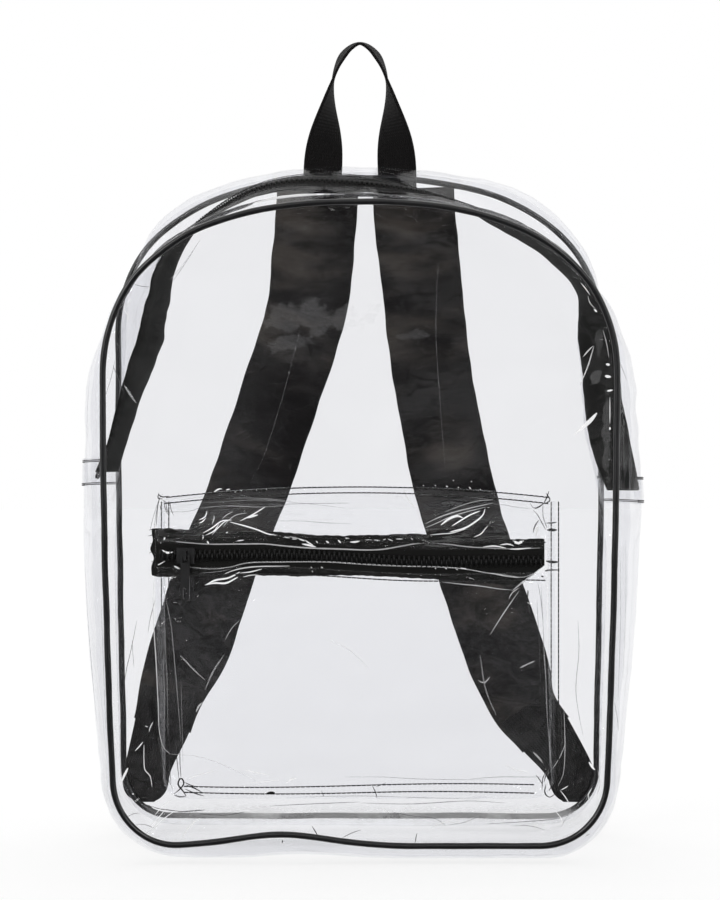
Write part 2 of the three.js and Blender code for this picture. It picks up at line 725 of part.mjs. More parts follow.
// The pocket's edge from its top left corner down, along its foot and up to its top right corner.
function pocketEdge(half, foot, corner) {
  const points = [];
  const sideTop = pocketTop - pocketArch - corner * 0.2;
  for (const z of evenly(sideTop, foot + corner, 12)) points.push(new THREE.Vector2(-half, z));
  for (const turn of evenly(Math.PI, 1.5 * Math.PI, 5).slice(1)) {
    const [across, up] = [Math.cos(turn) * corner, Math.sin(turn) * corner];
    points.push(new THREE.Vector2(-half + corner + across, foot + corner + up));
  }
  for (const x of evenly(-half + corner, 0, 5).slice(1)) points.push(new THREE.Vector2(x, foot));
  const mirrored = points.slice(0, -1).reverse();
  return [...points, ...mirrored.map((p) => new THREE.Vector2(-p.x, p.y))];
}

function addPocketGusset() {
  const base = pocketEdge(pocketHalf, pocketFoot, pocketCorner);
  const face = pocketEdge(pocketHalf - vinyl, pocketFoot + vinyl, pocketCorner - vinyl);
  const place = (i, share) => {
    const flat = base[i].clone().lerp(face[i], share);
    const off = pocketOff(flat.y);
    const lean = pocketLean * Math.min(1, off / pocketDepth) * share;
    const y = frontPanelY(flat.x, flat.y) - pocketBaseGap - off * share;
    return new THREE.Vector3(flat.x + lean, y, flat.y);
  };
  const last = base.length - 1;
  const grid = base.map((_, i) => {
    const along = place(Math.min(last, i + 1), 1).sub(place(Math.max(0, i - 1), 1));
    const out = new THREE.Vector3(along.z, 0, -along.x).normalize();
    return [0, 0.5, 1].map((share) => {
      const swell = Math.sin(share * Math.PI) * 0.06 * pocketOff(place(i, share).z);
      return { point: place(i, share).addScaledVector(out, -swell), normal: out.clone().negate() };
    });
  });
  add("pocket_gusset", sheetSolid(grid, vinyl, 0, false), vinylLook);
}

function addPocket() {
  addPocketGusset();
  const faceHalf = pocketHalf - vinyl * 1.5 - clearance;
  const opening = zipOpening / 2;
  const halfTape = tapeWidth / 2;
  const footLine = () => pocketFoot + vinyl * 1.5 + clearance;
  const lowLip = (x) => pocketZipZ(x) - opening;
  const highLip = (x) => pocketZipZ(x) + opening;
  const topLine = (x) => pocketTopZ(x) - clearance;
  add("pocket_front", pocketFrontSheet(footLine, lowLip, faceHalf), vinylLook);
  add("pocket_top", pocketSheet(highLip, topLine, 4, vinyl, 0, faceHalf), vinylLook);
  const tapeLow = (x) => pocketZipZ(x) - halfTape;
  const tapeHigh = (x) => pocketZipZ(x) + halfTape;
  const zipHalf = faceHalf - pocketTapeInset;
  const behind = tapeLift - clearance;
  const tape = pocketSheet(tapeLow, tapeHigh, 4, tapeThickness, behind, zipHalf);
  add("pocket_zip_tape", tape, tapeLook);
  const coilLow = (x) => pocketZipZ(x) - coilWidth / 2;
  const coilHigh = (x) => pocketZipZ(x) + coilWidth / 2;
  const coilLift = behind + tapeThickness / 2 + coilSeat + coilHeight / 2;
  add("pocket_zip_coil", pocketSheet(coilLow, coilHigh, 1, coilHeight, coilLift, zipHalf), coilLook);
  addPocketSlider();
}

// The pocket's lower face, whose foot corners are rounded like the gusset's.
function pocketFrontSheet(lowLine, highLine, half) {
  const corner = pocketCorner - vinyl * 1.5 - clearance;
  const columns = evenly(-half, half, 14);
  const inset = (x) => {
    const over = Math.max(0, Math.abs(x) - (half - corner));
    return corner - Math.sqrt(Math.max(0, corner ** 2 - over ** 2));
  };
  const grid = evenly(0, 1, 6).map((share) =>
    columns.map((x) => pocketFrame(x, THREE.MathUtils.lerp(lowLine(x) + inset(x), highLine(x), share))),
  );
  return sheetSolid(grid, vinyl, 0, false);
}

function addPocketSlider() {
  const x = -pocketHalf + pocketSliderInset;
  const seat = pocketFrame(x, pocketZipZ(x));
  const along = pocketFrame(x + 1, pocketZipZ(x + 1)).point.sub(pocketFrame(x - 1, pocketZipZ(x - 1)).point);
  const tapeFace = tapeLift - clearance + tapeThickness / 2;
  const foot = seat.point.clone().addScaledVector(seat.normal, tapeFace);
  add("pocket_zip_slider", placed(sliderSolid(false), foot, along, seat.normal), hardwareLook);
  const down = new THREE.Vector3().crossVectors(along, seat.normal);
  const pin = foot.clone().addScaledVector(seat.normal, pinHeight);
  add("pocket_zip_pull", placed(pullSolid(), pin, down, seat.normal), hardwareLook);
}

// Straps and webbing

// A flat strap along a smooth line. Its width lies across the line and square to "facing", which may
// change along the line, and both its ends are square.
function strapSheet(points, steps, widthAt, thickness, facingAt, columns) {
  const line = new THREE.CatmullRomCurve3(points, false, "centripetal");
  const grid = evenly(0, 1, steps).map((share) => {
    const point = line.getPointAt(share);
    const ahead = line.getTangentAt(share);
    const across = new THREE.Vector3().crossVectors(ahead, facingAt(share)).normalize();
    const normal = new THREE.Vector3().crossVectors(across, ahead).normalize();
    return evenly(-0.5, 0.5, columns).map((side) => ({
      point: point.clone().addScaledVector(across, side * widthAt(share)),
      normal,
    }));
  });
  return sheetSolid(grid, thickness, 0, false);
}

const loopY = backY + pipingRadius + clearance + loopThickness / 2;
const bodyTop = seamLift + backHeight;

function addHaulLoop() {
  const half = loopSpacing / 2;
  const leg = [
    { side: 1, up: -loopTail / loopHeight },
    { side: 1, up: 0.07 },
    { side: 0.91, up: 0.36 },
    { side: 0.77, up: 0.665 },
    { side: 0.59, up: 0.84 },
    { side: 0.34, up: 0.95 },
  ];
  const rise = (row, sign) => new THREE.Vector3(sign * row.side * half, loopY, bodyTop + row.up * loopHeight);
  const top = new THREE.Vector3(0, loopY, bodyTop + loopHeight);
  const points = [...leg.map((row) => rise(row, -1)), top, ...leg.map((row) => rise(row, 1)).reverse()];
  // The webbing leaves the seam flat and has turned edge-on by the top.
  const facingAt = (share) => {
    const fromSeam = Math.min(share, 1 - share) * 2;
    const turned = THREE.MathUtils.smoothstep(fromSeam, 0.1, 0.76) * (Math.PI / 2);
    const outward = share < 0.5 ? -Math.sin(turned) : Math.sin(turned);
    return new THREE.Vector3(outward, Math.cos(turned), Math.sin(turned) * 0.02).normalize();
  };
  const arch = (share) => {
    const overTop = THREE.MathUtils.smoothstep(Math.min(share, 1 - share) * 2, 0.6, 1);
    return facingAt(share).lerp(new THREE.Vector3(0, -0.18, 1), overTop).normalize();
  };
  add("haul_loop", strapSheet(points, 40, () => webbingWidth, loopThickness, arch, 2), webbingLook);
}

const strapSeatY = loopY + loopThickness / 2 + clearance + strapThickness / 2;

function strapRoutePoint(row) {
  const z = seamLift + row.up * backHeight;
  return new THREE.Vector3((row.side * backWidth) / 2, strapSeatY + row.out * strapBow, z);
}

// A strap with the webbing sewn to its lower end, which runs on into the back seam at the bag's foot.
function addStrap(side, route, anchorRow) {
  const line = new THREE.CatmullRomCurve3(route.map(strapRoutePoint), false, "centripetal");
  const neckShare = strapNeckLength / line.getLength();
  const widthAt = (share) => {
    const toNeck = THREE.MathUtils.smoothstep(share, 1 - neckShare, 1);
    return THREE.MathUtils.lerp(strapWidth, strapNeck, toNeck);
  };
  const back = new THREE.Vector3(0, 1, 0);
  const strap = strapSheet(route.map(strapRoutePoint), 30, widthAt, strapThickness, () => back, 4);
  add(side + "_strap", strap, strapLook);

  const under = strapThickness / 2 + clearance * 2 + strapWebbingThickness / 2;
  const onStrap = (ahead) => {
    const share = 1 - ahead / line.getLength();
    const down = line.getTangentAt(share);
    const out = new THREE.Vector3(0, 1, 0).addScaledVector(down, -down.y).normalize();
    return line.getPointAt(share).addScaledVector(out, -under);
  };
  const seatY = backY + pipingRadius + clearance * 2 + strapWebbingThickness / 2;
  const seat = new THREE.Vector3((anchorRow.side * backWidth) / 2, seatY, seamLift + anchorRow.up * backHeight);
  const seatTop = seat.clone().add(new THREE.Vector3(0, 0, strapWebbingFoot));
  const points = [onStrap(strapWebbingOverlap), onStrap(strapWebbingOverlap / 2), onStrap(0), seatTop, seat];
  const webbing = strapSheet(points, 18, () => strapWebbingWidth, strapWebbingThickness, () => back, 1);
  add(side + "_strap_webbing", webbing, webbingLook);
}

addPanel("front_panel", frontSeam, frontMiddle, frontY, frontCrown, -1);
addPanel("back_panel", backSeam, backMiddle, backY, backCrown, -1);
addPiping("front_piping", frontSeam, frontY);
addPiping("back_piping", backSeam, backY);
addGusset();
addMainSlider();
addPocket();
addHaulLoop();
addStrap("left", leftStrapRoute, leftAnchor);
addStrap("right", rightStrapRoute, rightAnchor);

// The origin lies on the floor under the middle of the whole bag.
const around = new THREE.Box3().setFromObject(bag);
bag.position.set(-(around.min.x + around.max.x) / 2, -(around.min.y + around.max.y) / 2, -around.min.z);

export default bag;
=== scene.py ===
# A clear vinyl backpack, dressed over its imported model. Tables and curves are in millimetres.
import math
import bpy
import numpy as np
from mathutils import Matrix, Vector, noise


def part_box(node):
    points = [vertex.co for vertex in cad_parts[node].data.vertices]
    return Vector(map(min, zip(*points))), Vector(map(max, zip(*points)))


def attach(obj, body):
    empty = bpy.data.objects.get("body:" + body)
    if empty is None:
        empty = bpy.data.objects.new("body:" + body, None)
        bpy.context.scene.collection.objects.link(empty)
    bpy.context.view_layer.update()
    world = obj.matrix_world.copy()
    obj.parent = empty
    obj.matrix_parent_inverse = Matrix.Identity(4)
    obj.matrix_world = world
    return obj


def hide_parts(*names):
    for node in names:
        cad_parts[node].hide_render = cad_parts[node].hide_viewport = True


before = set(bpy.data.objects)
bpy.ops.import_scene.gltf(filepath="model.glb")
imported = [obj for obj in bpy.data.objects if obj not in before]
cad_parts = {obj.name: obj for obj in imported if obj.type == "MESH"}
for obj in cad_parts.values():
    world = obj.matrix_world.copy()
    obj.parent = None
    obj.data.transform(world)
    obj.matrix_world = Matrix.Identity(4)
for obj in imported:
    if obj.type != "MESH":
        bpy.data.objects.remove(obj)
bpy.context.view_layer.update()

scene = bpy.context.scene
bpy.ops.object.select_all(action="DESELECT")

# Camera, level in front of the pocket
camera = {"x": -0.0021, "y": -1.5698, "z": 0.256, "lens": 96.45}
bpy.ops.object.camera_add(location=(camera["x"], camera["y"], camera["z"]), rotation=(math.pi / 2, 0, 0))
cameraObject = bpy.context.object
cameraObject.data.lens = camera["lens"]
cameraObject.data.sensor_width = 36
cameraObject.data.sensor_height = 36
cameraObject.data.sensor_fit = "VERTICAL"
cameraObject.data.clip_start = 0.05
cameraObject.data.clip_end = 60
scene.camera = cameraObject
print("camera placed")

# Reading the bag's own measures

body = {
    "frontWidth": 320, "frontFootWidth": 308, "frontHeight": 401, "frontCorner": 42,
    "backWidth": 326, "backFootWidth": 318, "backHeight": 430, "backCorner": 32,
    "depth": 125, "shoulderHeight": 112, "squareness": 2.4, "seamLift": 9.5, "stagger": 0.011,
    "frontCrown": 7, "backCrown": 4, "hemWave": 7, "hemWaveWidth": 42, "hemWaveSide": -48,
    "sheet": 0.5, "gap": 0.3, "piping": 4,
}
frontY = -body["depth"] / 2
backY = body["depth"] / 2
# how the traced places were seen: the picture's middle, mm a pixel at the front seam, distance and eye height
view = {"middleX": 360, "middleY": 450, "scale": 0.622, "distance": 1500, "height": 256}
pipingLow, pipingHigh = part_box("front_piping")
shiftX = (pipingLow[0] + pipingHigh[0]) / 2
shiftY = (pipingLow[1] + pipingHigh[1]) / 2 - frontY / 1000

foldDepths = [0, 0.07, 0.2, 0.36, 0.6, 0.84, 1]
gussetFolds = [  # share of the way round, then how far out at each depth
    (0.0, 0.075, 0.09, 0.09, 0.09, 0.08), (0.05, 0.075, 0.088, 0.09, 0.09, 0.08),
    (0.1, 0.072, 0.095, 0.1, 0.1, 0.07), (0.125, 0.055, 0.08, 0.085, 0.085, 0.05),
    (0.15, 0.05, 0.085, 0.095, 0.09, 0.045), (0.2, 0.07, 0.115, 0.133, 0.125, 0.06),
    (0.25, 0.08, 0.135, 0.148, 0.13, 0.06), (0.275, 0.085, 0.14, 0.14, 0.0, -0.03),
    (0.3, 0.08, 0.13, 0.085, -0.1, -0.06), (0.325, 0.07, 0.105, 0.03, -0.13, -0.07),
    (0.35, 0.04, 0.06, 0.01, -0.145, -0.08), (0.375, 0.01, 0.01, -0.005, -0.085, 0.02),
    (0.4, 0.0, 0.0, -0.03, -0.1, 0.06), (0.43, 0.0, 0.0, -0.03, -0.09, 0.09),
    (0.46, 0.0, 0.0, 0.0, -0.02, 0.07), (0.5, 0.01, 0.01, 0.02, 0.07, 0.075),
    (0.54, 0.01, 0.02, 0.05, 0.075, 0.075), (0.575, 0.01, 0.0, 0.0, -0.01, 0.075),
    (0.6, 0.01, 0.0, -0.04, -0.14, 0.04), (0.625, 0.01, -0.02, -0.14, -0.23, -0.05),
    (0.65, 0.03, 0.02, -0.16, -0.25, -0.1), (0.675, 0.07, 0.09, -0.09, -0.16, -0.07),
    (0.7, 0.07, 0.1, -0.01, -0.07, -0.03), (0.722, 0.075, 0.115, 0.09, 0.0, 0.0),
    (0.75, 0.075, 0.12, 0.13, 0.12, 0.05), (0.8, 0.07, 0.105, 0.12, 0.115, 0.055),
    (0.85, 0.045, 0.075, 0.085, 0.08, 0.04), (0.875, 0.045, 0.07, 0.075, 0.07, 0.04),
    (0.9, 0.055, 0.085, 0.1, 0.1, 0.07), (0.95, 0.1, 0.115, 0.115, 0.1, 0.08),
]
mainZip = {
    "tape": 30, "tapeThick": 0.8, "coil": 6, "coilThick": 1.8, "opening": 14, "depth": 0.45,
    "rightEnd": 0.276, "leftEnd": 0.715, "tab": 17,
}
tapeLift = -(1 / 2 + body["gap"] + mainZip["tapeThick"] / 2)


def smoothstep(low, high, value):
    share = np.clip((np.asarray(value, float) - low) / (high - low), 0, 1)
    return share * share * (3 - 2 * share)


def bend(before, start, end, after, share):
    curve = 2 * before - 5 * start + 4 * end - after
    twist = 3 * (start - end) + after - before
    return start + 0.5 * share * (end - before + share * (curve + share * twist))


def readRows(keys, values, at):
    # smooth reading of a table, as the source reads it
    keys, values, at = np.asarray(keys, float), np.asarray(values, float), np.asarray(at, float)
    last = len(keys) - 1
    row = np.clip(np.searchsorted(keys, at, side="left") - 1, 0, last - 1)
    share = (at - keys[row]) / (keys[row + 1] - keys[row])
    take = lambda i: values[np.clip(i, 0, last)]
    return bend(take(row - 1), take(row), take(row + 1), take(row + 2), share)


def readRing(column, shares):
    at = np.array([row[0] for row in gussetFolds])
    values = np.array([row[column] for row in gussetFolds])
    turn = len(at)
    share = np.mod(shares, 1)
    row = np.clip(np.searchsorted(at, share, side="right") - 1, 0, turn - 1)
    following = np.where(row + 1 < turn, at[(row + 1) % turn], at[0] + 1)
    take = lambda i: values[i % turn]
    along = (share - at[row]) / (following - at[row])
    return bend(take(row - 1), take(row), take(row + 1), take(row + 2), along)


def archLine(width, footWidth, height, corner):
    half, footHalf, lift = width / 2, footWidth / 2, body["seamLift"]
    sideTop = lift + height - body["shoulderHeight"]
    right = [((i / 20) * (footHalf - corner), lift) for i in range(20)]
    for i in range(24):
        turn = (i / 24 - 1) * math.pi / 2
        right.append((footHalf - corner + math.cos(turn) * corner, lift + corner + math.sin(turn) * corner))
    for i in range(28):
        swell = math.sin(i / 28 * math.pi / 2)
        upSide = (sideTop - lift - corner) * i / 28
        right.append((footHalf + (half - footHalf) * swell, lift + corner + upSide))
    power = 2 / body["squareness"]
    for i in range(91):
        turn = i / 90 * math.pi / 2
        upShoulder = body["shoulderHeight"] * math.sin(turn) ** power
        right.append((half * max(0, math.cos(turn)) ** power, sideTop + upShoulder))
    left = [(-x, z) for x, z in right[1:-1]][::-1]
    return np.array(right + left)


def hemWave(line):
    nearFloor = np.maximum(0, 1 - (line[:, 1] - body["seamLift"]) / (body["frontCorner"] * 2))
    lift = body["hemWave"] * np.exp(-(((line[:, 0] - body["hemWaveSide"]) / body["hemWaveWidth"]) ** 2))
    line[:, 1] += lift * nearFloor
    return line


class Seam:
    # a closed seam, read by the share of its length
    def __init__(self, line, stagger=0):
        closed = np.vstack([line, line[:1]])
        self.lengths = np.concatenate([[0], np.cumsum(np.linalg.norm(np.diff(closed, axis=0), axis=1))])
        self.line, self.total, self.stagger = closed, self.lengths[-1], stagger

    def at(self, shares):
        shares = np.asarray(shares, float)
        shares = shares - self.stagger * np.sin(shares * 2 * math.pi)
        along = np.mod(shares, 1) * self.total
        return np.stack([np.interp(along, self.lengths, self.line[:, i]) for i in (0, 1)], -1)

    def outward(self, shares):
        ahead = self.at(np.asarray(shares) + 0.002) - self.at(np.asarray(shares) - 0.002)
        out = np.stack([ahead[..., 1], -ahead[..., 0]], -1)
        return out / np.linalg.norm(out, axis=-1, keepdims=True)


frontArch = archLine(body["frontWidth"], body["frontFootWidth"], body["frontHeight"], body["frontCorner"])
backArch = archLine(body["backWidth"], body["backFootWidth"], body["backHeight"], body["backCorner"])
frontSeam = Seam(hemWave(frontArch))
backSeam = Seam(backArch, body["stagger"])


def gussetGrid(shares, depths):
    # rows run round the seam and columns from the front seam to the back one
    shares, depths = np.asarray(shares, float), np.asarray(depths, float)
    front, back = frontSeam.at(shares)[:, None], backSeam.at(shares)[:, None]
    share = depths[None, :, None]
    seat = front + (back - front) * share
    out = frontSeam.outward(shares)[:, None] * (1 - share) + backSeam.outward(shares)[:, None] * share
    out /= np.linalg.norm(out, axis=-1, keepdims=True)
    zero = np.zeros(len(shares))
    folds = np.array([zero] + [readRing(column, shares) for column in range(1, 6)] + [zero])
    offset = np.empty((len(shares), len(depths)))
    for j, depth in enumerate(depths):
        row = min(max(int(np.searchsorted(foldDepths, depth, side="left")) - 1, 0), 5)
        along = (depth - foldDepths[row]) / (foldDepths[row + 1] - foldDepths[row])
        take = lambda i: folds[min(max(i, 0), 6)]
        offset[:, j] = bend(take(row - 1), take(row), take(row + 1), take(row + 2), along)
    seat = seat + out * (offset * body["depth"])[..., None]
    points = np.empty(seat.shape[:2] + (3,))
    points[..., 0] = seat[..., 0]
    points[..., 1] = frontY + depths[None, :] * body["depth"]
    points[..., 2] = np.maximum(0.5, seat[..., 1])
    return points


# Making meshes

def normalsOf(grid, closed=False):
    if closed:
        down = np.roll(grid, -1, 0) - np.roll(grid, 1, 0)
    else:
        down = np.gradient(grid, axis=0)
    across = np.gradient(grid, axis=1)
    normals = np.cross(across, down)
    return normals / np.maximum(np.linalg.norm(normals, axis=-1, keepdims=True), 1e-9)


def toFrame(points):
    points = np.asarray(points, float).reshape(-1, 3) / 1000
    points[:, 0] += shiftX
    points[:, 1] += shiftY
    return points


def meshPiece(name, points, faces, uv=None, values=None):
    mesh = bpy.data.meshes.new(name)
    mesh.from_pydata(toFrame(points).tolist(), [], [list(map(int, face)) for face in faces])
    mesh.update()
    corners = np.empty(len(mesh.loops), int)
    mesh.loops.foreach_get("vertex_index", corners)
    if uv is not None:
        layer = mesh.uv_layers.new(name="run")
        layer.data.foreach_set("uv", (np.asarray(uv, float) / 1000)[corners].ravel())
    for key, value in (values or {}).items():
        mesh.attributes.new(key, "FLOAT", "POINT").data.foreach_set("value", np.asarray(value, float).ravel())
    mesh.polygons.foreach_set("use_smooth", [True] * len(mesh.polygons))
    piece = bpy.data.objects.new(name, mesh)
    scene.collection.objects.link(piece)
    return piece


def gridFaces(rows, columns, closedRows=False, closedColumns=False, start=0):
    down = np.arange(rows if closedRows else rows - 1)
    over = np.arange(columns if closedColumns else columns - 1)
    i, j = np.meshgrid(down, over, indexing="ij")
    a = i * columns + j
    b = i * columns + (j + 1) % columns
    c = ((i + 1) % rows) * columns + (j + 1) % columns
    d = ((i + 1) % rows) * columns + j
    return np.stack([a, b, c, d], -1).reshape(-1, 4) + start


def sheetPiece(name, grid, thickness, lift=0, closed=False, uv=None, values=None):
    # a closed thin sheet about a grid of points; its outer face is the one that columns x rows give
    rows, columns = grid.shape[:2]
    normals = normalsOf(grid, closed)
    outer = grid + normals * (lift + thickness / 2)
    inner = grid + normals * (lift - thickness / 2)
    under = rows * columns
    top = gridFaces(rows, columns, closed)
    faces = [top, top[:, ::-1] + under]
    i = np.arange(rows if closed else rows - 1)
    a, b = i * columns, ((i + 1) % rows) * columns
    faces.append(np.stack([a, b, b + under, a + under], -1))
    c, d = a + columns - 1, b + columns - 1
    faces.append(np.stack([d, c, c + under, d + under], -1))
    if not closed:
        j = np.arange(columns - 1)
        a, b = j, j + 1
        faces.append(np.stack([b, a, a + under, b + under], -1))
        c, d = a + (rows - 1) * columns, b + (rows - 1) * columns
        faces.append(np.stack([c, d, d + under, c + under], -1))
    both = lambda array: np.concatenate([np.asarray(array).reshape(under, -1)] * 2)
    if uv is None:
        step = np.linalg.norm(np.diff(grid[:, columns // 2], axis=0), axis=-1)
        cross = np.linalg.norm(np.diff(grid[rows // 2], axis=0), axis=-1)
        along = np.concatenate([[0], np.cumsum(step)])
        over = np.concatenate([[0], np.cumsum(cross)])
        uv = np.stack(np.meshgrid(along, over - over[-1] / 2, indexing="ij"), -1)
    values = {key: both(value) for key, value in (values or {}).items()}
    points = np.concatenate([outer.reshape(-1, 3), inner.reshape(-1, 3)])
    innerFaces[name] = (len(top), 2 * len(top))
    return meshPiece(name, points, np.concatenate(faces), both(uv), values)


def tubePiece(name, sections, closed=False, uv=None):
    rows, count = sections.shape[:2]
    faces = [list(face[::-1]) for face in gridFaces(rows, count, closed, True)]
    if not closed:
        faces.append(list(range(count)))
        faces.append([(rows - 1) * count + k for k in range(count)][::-1])
    return meshPiece(name, sections.reshape(-1, 3), faces, uv)


def rounds(line, radius, side, up, turn):
    # round sections about a line, in the plane of two ways given at each point
    turn = turn[None, :, None]
    return line[:, None] + radius * (np.cos(turn) * side[:, None] + np.sin(turn) * up[:, None])


def tubeSections(line, radius, sides=10, closed=False):
    line = np.asarray(line, float)
    if closed:
        ahead = np.roll(line, -1, 0) - np.roll(line, 1, 0)
    else:
        ahead = np.gradient(line, axis=0)
    ahead /= np.linalg.norm(ahead, axis=-1, keepdims=True)
    up = np.array([0, 1.0, 0]) + 0 * ahead
    side = np.cross(ahead, up)
    weak = np.linalg.norm(side, axis=-1) < 0.2
    side[weak] = np.cross(ahead[weak], np.array([1.0, 0, 0]))
    side /= np.linalg.norm(side, axis=-1, keepdims=True)
    up = np.cross(side, ahead)
    turn = np.arange(sides) / sides * 2 * math.pi
    radius = np.broadcast_to(np.asarray(radius, float), (len(line),))[:, None, None]
    return rounds(line, radius, side, up, turn)


def wander(points, size, seed):
    flat = np.asarray(points, float).reshape(-1, 3) / np.asarray(size, float)
    out = []
    for x, y, z in flat.tolist():
        out.append(noise.noise(Vector((x + seed * 7.3, y - seed * 3.1, z + seed * 1.7))))
    return np.array(out).reshape(np.asarray(points).shape[:-1])


def smoothLine(points, count):
    # the source's smooth line through the points, evenly spaced
    points = [np.asarray(p, float) for p in points]
    points = [2 * points[0] - points[1]] + points + [2 * points[-1] - points[-2]]
    fine = []
    for i in range(1, len(points) - 2):
        p0, p1, p2, p3 = points[i - 1:i + 3]
        d0, d1, d2 = (max(np.linalg.norm(b - a) ** 0.5, 1e-4) for a, b in ((p0, p1), (p1, p2), (p2, p3)))
        t1 = ((p1 - p0) / d0 - (p2 - p0) / (d0 + d1) + (p2 - p1) / d1) * d1
        t2 = ((p2 - p1) / d1 - (p3 - p1) / (d1 + d2) + (p3 - p2) / d2) * d1
        for share in np.linspace(0, 1, 40, endpoint=False):
            c2, c3 = -3 * p1 + 3 * p2 - 2 * t1 - t2, 2 * p1 - 2 * p2 + t1 + t2
            fine.append(p1 + t1 * share + c2 * share ** 2 + c3 * share ** 3)
    fine = np.array(fine + [points[-2]])
    lengths = np.concatenate([[0], np.cumsum(np.linalg.norm(np.diff(fine, axis=0), axis=1))])
    at = np.linspace(0, lengths[-1], count)
    return np.stack([np.interp(at, lengths, fine[:, i]) for i in range(3)], -1), lengths[-1]


def pushed(grid, amount, closed=False):
    return grid + normalsOf(grid, closed) * amount[..., None]


innerFaces = {}  # for each sheet, the first of its inner faces and the one after the last


def dress(piece, material, slot, *nodes):
    piece.data.materials.clear()
    piece.data.materials.append(material)
    if slot == "clear_vinyl" and piece.name in innerFaces:
        piece.data.materials.append(innerLook)
        first, after = innerFaces[piece.name]
        turns = np.zeros(len(piece.data.polygons), int)
        turns[first:after] = 1
        piece.data.polygons.foreach_set("material_index", turns)
    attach(piece, "bag")
    if nodes:
        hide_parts(*nodes)
    if slot == "clear_vinyl":
        piece.visible_shadow = False
        piece.visible_diffuse = False
    return piece


# Finishes

class Wire:
    # a socket that takes part in sums
    def __init__(self, finish, socket):
        self.finish, self.socket = finish, socket

    def maths(self, operation, *others, first=None):
        values = [self if first is None else first, *others]
        return self.finish.add("ShaderNodeMath", {"operation": operation}, values)

    def __add__(self, other): return self.maths("ADD", other)
    def __radd__(self, other): return self.maths("ADD", self, first=other)
    def __sub__(self, other): return self.maths("SUBTRACT", other)
    def __rsub__(self, other): return self.maths("SUBTRACT", self, first=other)
    def __mul__(self, other): return self.maths("MULTIPLY", other)
    def __rmul__(self, other): return self.maths("MULTIPLY", self, first=other)
    def __truediv__(self, other): return self.maths("DIVIDE", other)
    def __pow__(self, other): return self.maths("POWER", other)


class Finish:
    # the nodes of a new material, or of the world
    def __init__(self, name, owner=None):
        self.owner = owner or bpy.data.materials.new(name)
        self.owner.use_nodes = True
        self.tree = self.owner.node_tree
        self.tree.nodes.clear()

    def add(self, kind, settings=None, inputs=None, output=0):
        node = self.tree.nodes.new(kind)
        for key, value in (settings or {}).items():
            if key == "stops":
                ramp = node.color_ramp
                while len(ramp.elements) < len(value):
                    ramp.elements.new(0.5)
                for element, (position, shade) in zip(ramp.elements, value):
                    element.position = position
                    element.color = (*shade, 1)
            else:
                setattr(node, key, value)
        pairs = inputs.items() if isinstance(inputs, dict) else enumerate(inputs or [])
        for key, value in pairs:
            if isinstance(value, Wire):
                self.tree.links.new(value.socket, node.inputs[key])
            else:
                node.inputs[key].default_value = value
        return Wire(self, node.outputs[output])

    def colours(self, share, first, second):
        return self.add("ShaderNodeMix", {"data_type": "RGBA"}, {0: share, 6: first, 7: second}, 2)

    def ramp(self, value, stops):
        return self.add("ShaderNodeValToRGB", {"stops": stops}, [value])

    def noise(self, vector, scale, detail=2, rough=0.5):
        values = {"Vector": vector, "Scale": scale, "Detail": detail, "Roughness": rough}
        return self.add("ShaderNodeTexNoise", {}, values)

    def vector(self, operation, *values, output=0):
        return self.add("ShaderNodeVectorMath", {"operation": operation}, list(values), output)

    def smooth(self, value, low, high, start=0.0, end=1.0):
        values = [value, low, high, start, end]
        return self.add("ShaderNodeMapRange", {"interpolation_type": "SMOOTHSTEP"}, values)

    def mixed(self, share, first, second):
        return self.add("ShaderNodeMixShader", {}, [share, first, second])

    def gloss(self, rough, **others):
        return self.add("ShaderNodeBsdfGlossy", {}, {"Color": (1, 1, 1, 1), "Roughness": rough, **others})

    def clear(self, *colour):
        return self.add("ShaderNodeBsdfTransparent", {}, {"Color": (*colour, 1)})

    def bump(self, height, distance, strength=1.0):
        return self.add("ShaderNodeBump", {}, {"Strength": strength, "Distance": distance, "Height": height})

    def attribute(self, name):
        return self.add("ShaderNodeAttribute", {"attribute_name": name}, output=2)

    def split(self, vector, axis):
        return self.add("ShaderNodeSeparateXYZ", {}, [vector], axis)

    def run(self):
        return self.add("ShaderNodeUVMap", {"uv_map": "run"})

    def place(self):
        return self.add("ShaderNodeTexCoord", output="Object")

    def out(self, shader, kind="Material"):
        node = self.tree.nodes.new("ShaderNodeOutput" + kind)
        self.tree.links.new(shader.socket, node.inputs["Surface"])
        return self.owner


def clearVinyl(name, fold=(30, 90), crease=1.0, paintedLight=(), tint=0.962, slant=0.5):
    # "fold" is how closely the creases lie along the piece's run and across it; it glints along them
    finish = Finish(name)
    place, run, crumple = finish.place(), finish.run(), finish.attribute("crumple")
    height = 0.0
    for scale, size, seat in ((1.0, 1.0, 0.0), (2.6, 0.45, 3.7)):
        stretch = (fold[0] * scale, fold[1] * scale, 1)
        field = finish.noise(finish.vector("MULTIPLY_ADD", run, stretch, (seat, seat, 0)), 1.0)
        ridge = 1 - ((field - 0.5).maths("ABSOLUTE") * 34).maths("MINIMUM", 1.0)
        patch = finish.smooth(finish.noise(place, 30 + 25 * scale, 1), 0.44, 0.6)
        height = field * crumple * (0.6 * size) + ridge * patch * crumple * (0.34 * size * crease) + height
    bump = finish.bump(height, 0.0016)
    facing = finish.add("ShaderNodeLayerWeight", {}, {"Blend": 0.5, "Normal": bump}, 1)
    through = finish.clear(tint, tint + 0.001, tint + 0.007)
    film = finish.mixed(0.034 + slant * facing ** 5, through, finish.gloss(0.06, Normal=bump))
    # painted light: pale patches of painted sheen, reflection and haze over the film
    if paintedLight:
        film = withPaintedLight(finish, film, place, paintedLight)
    return finish.out(film)


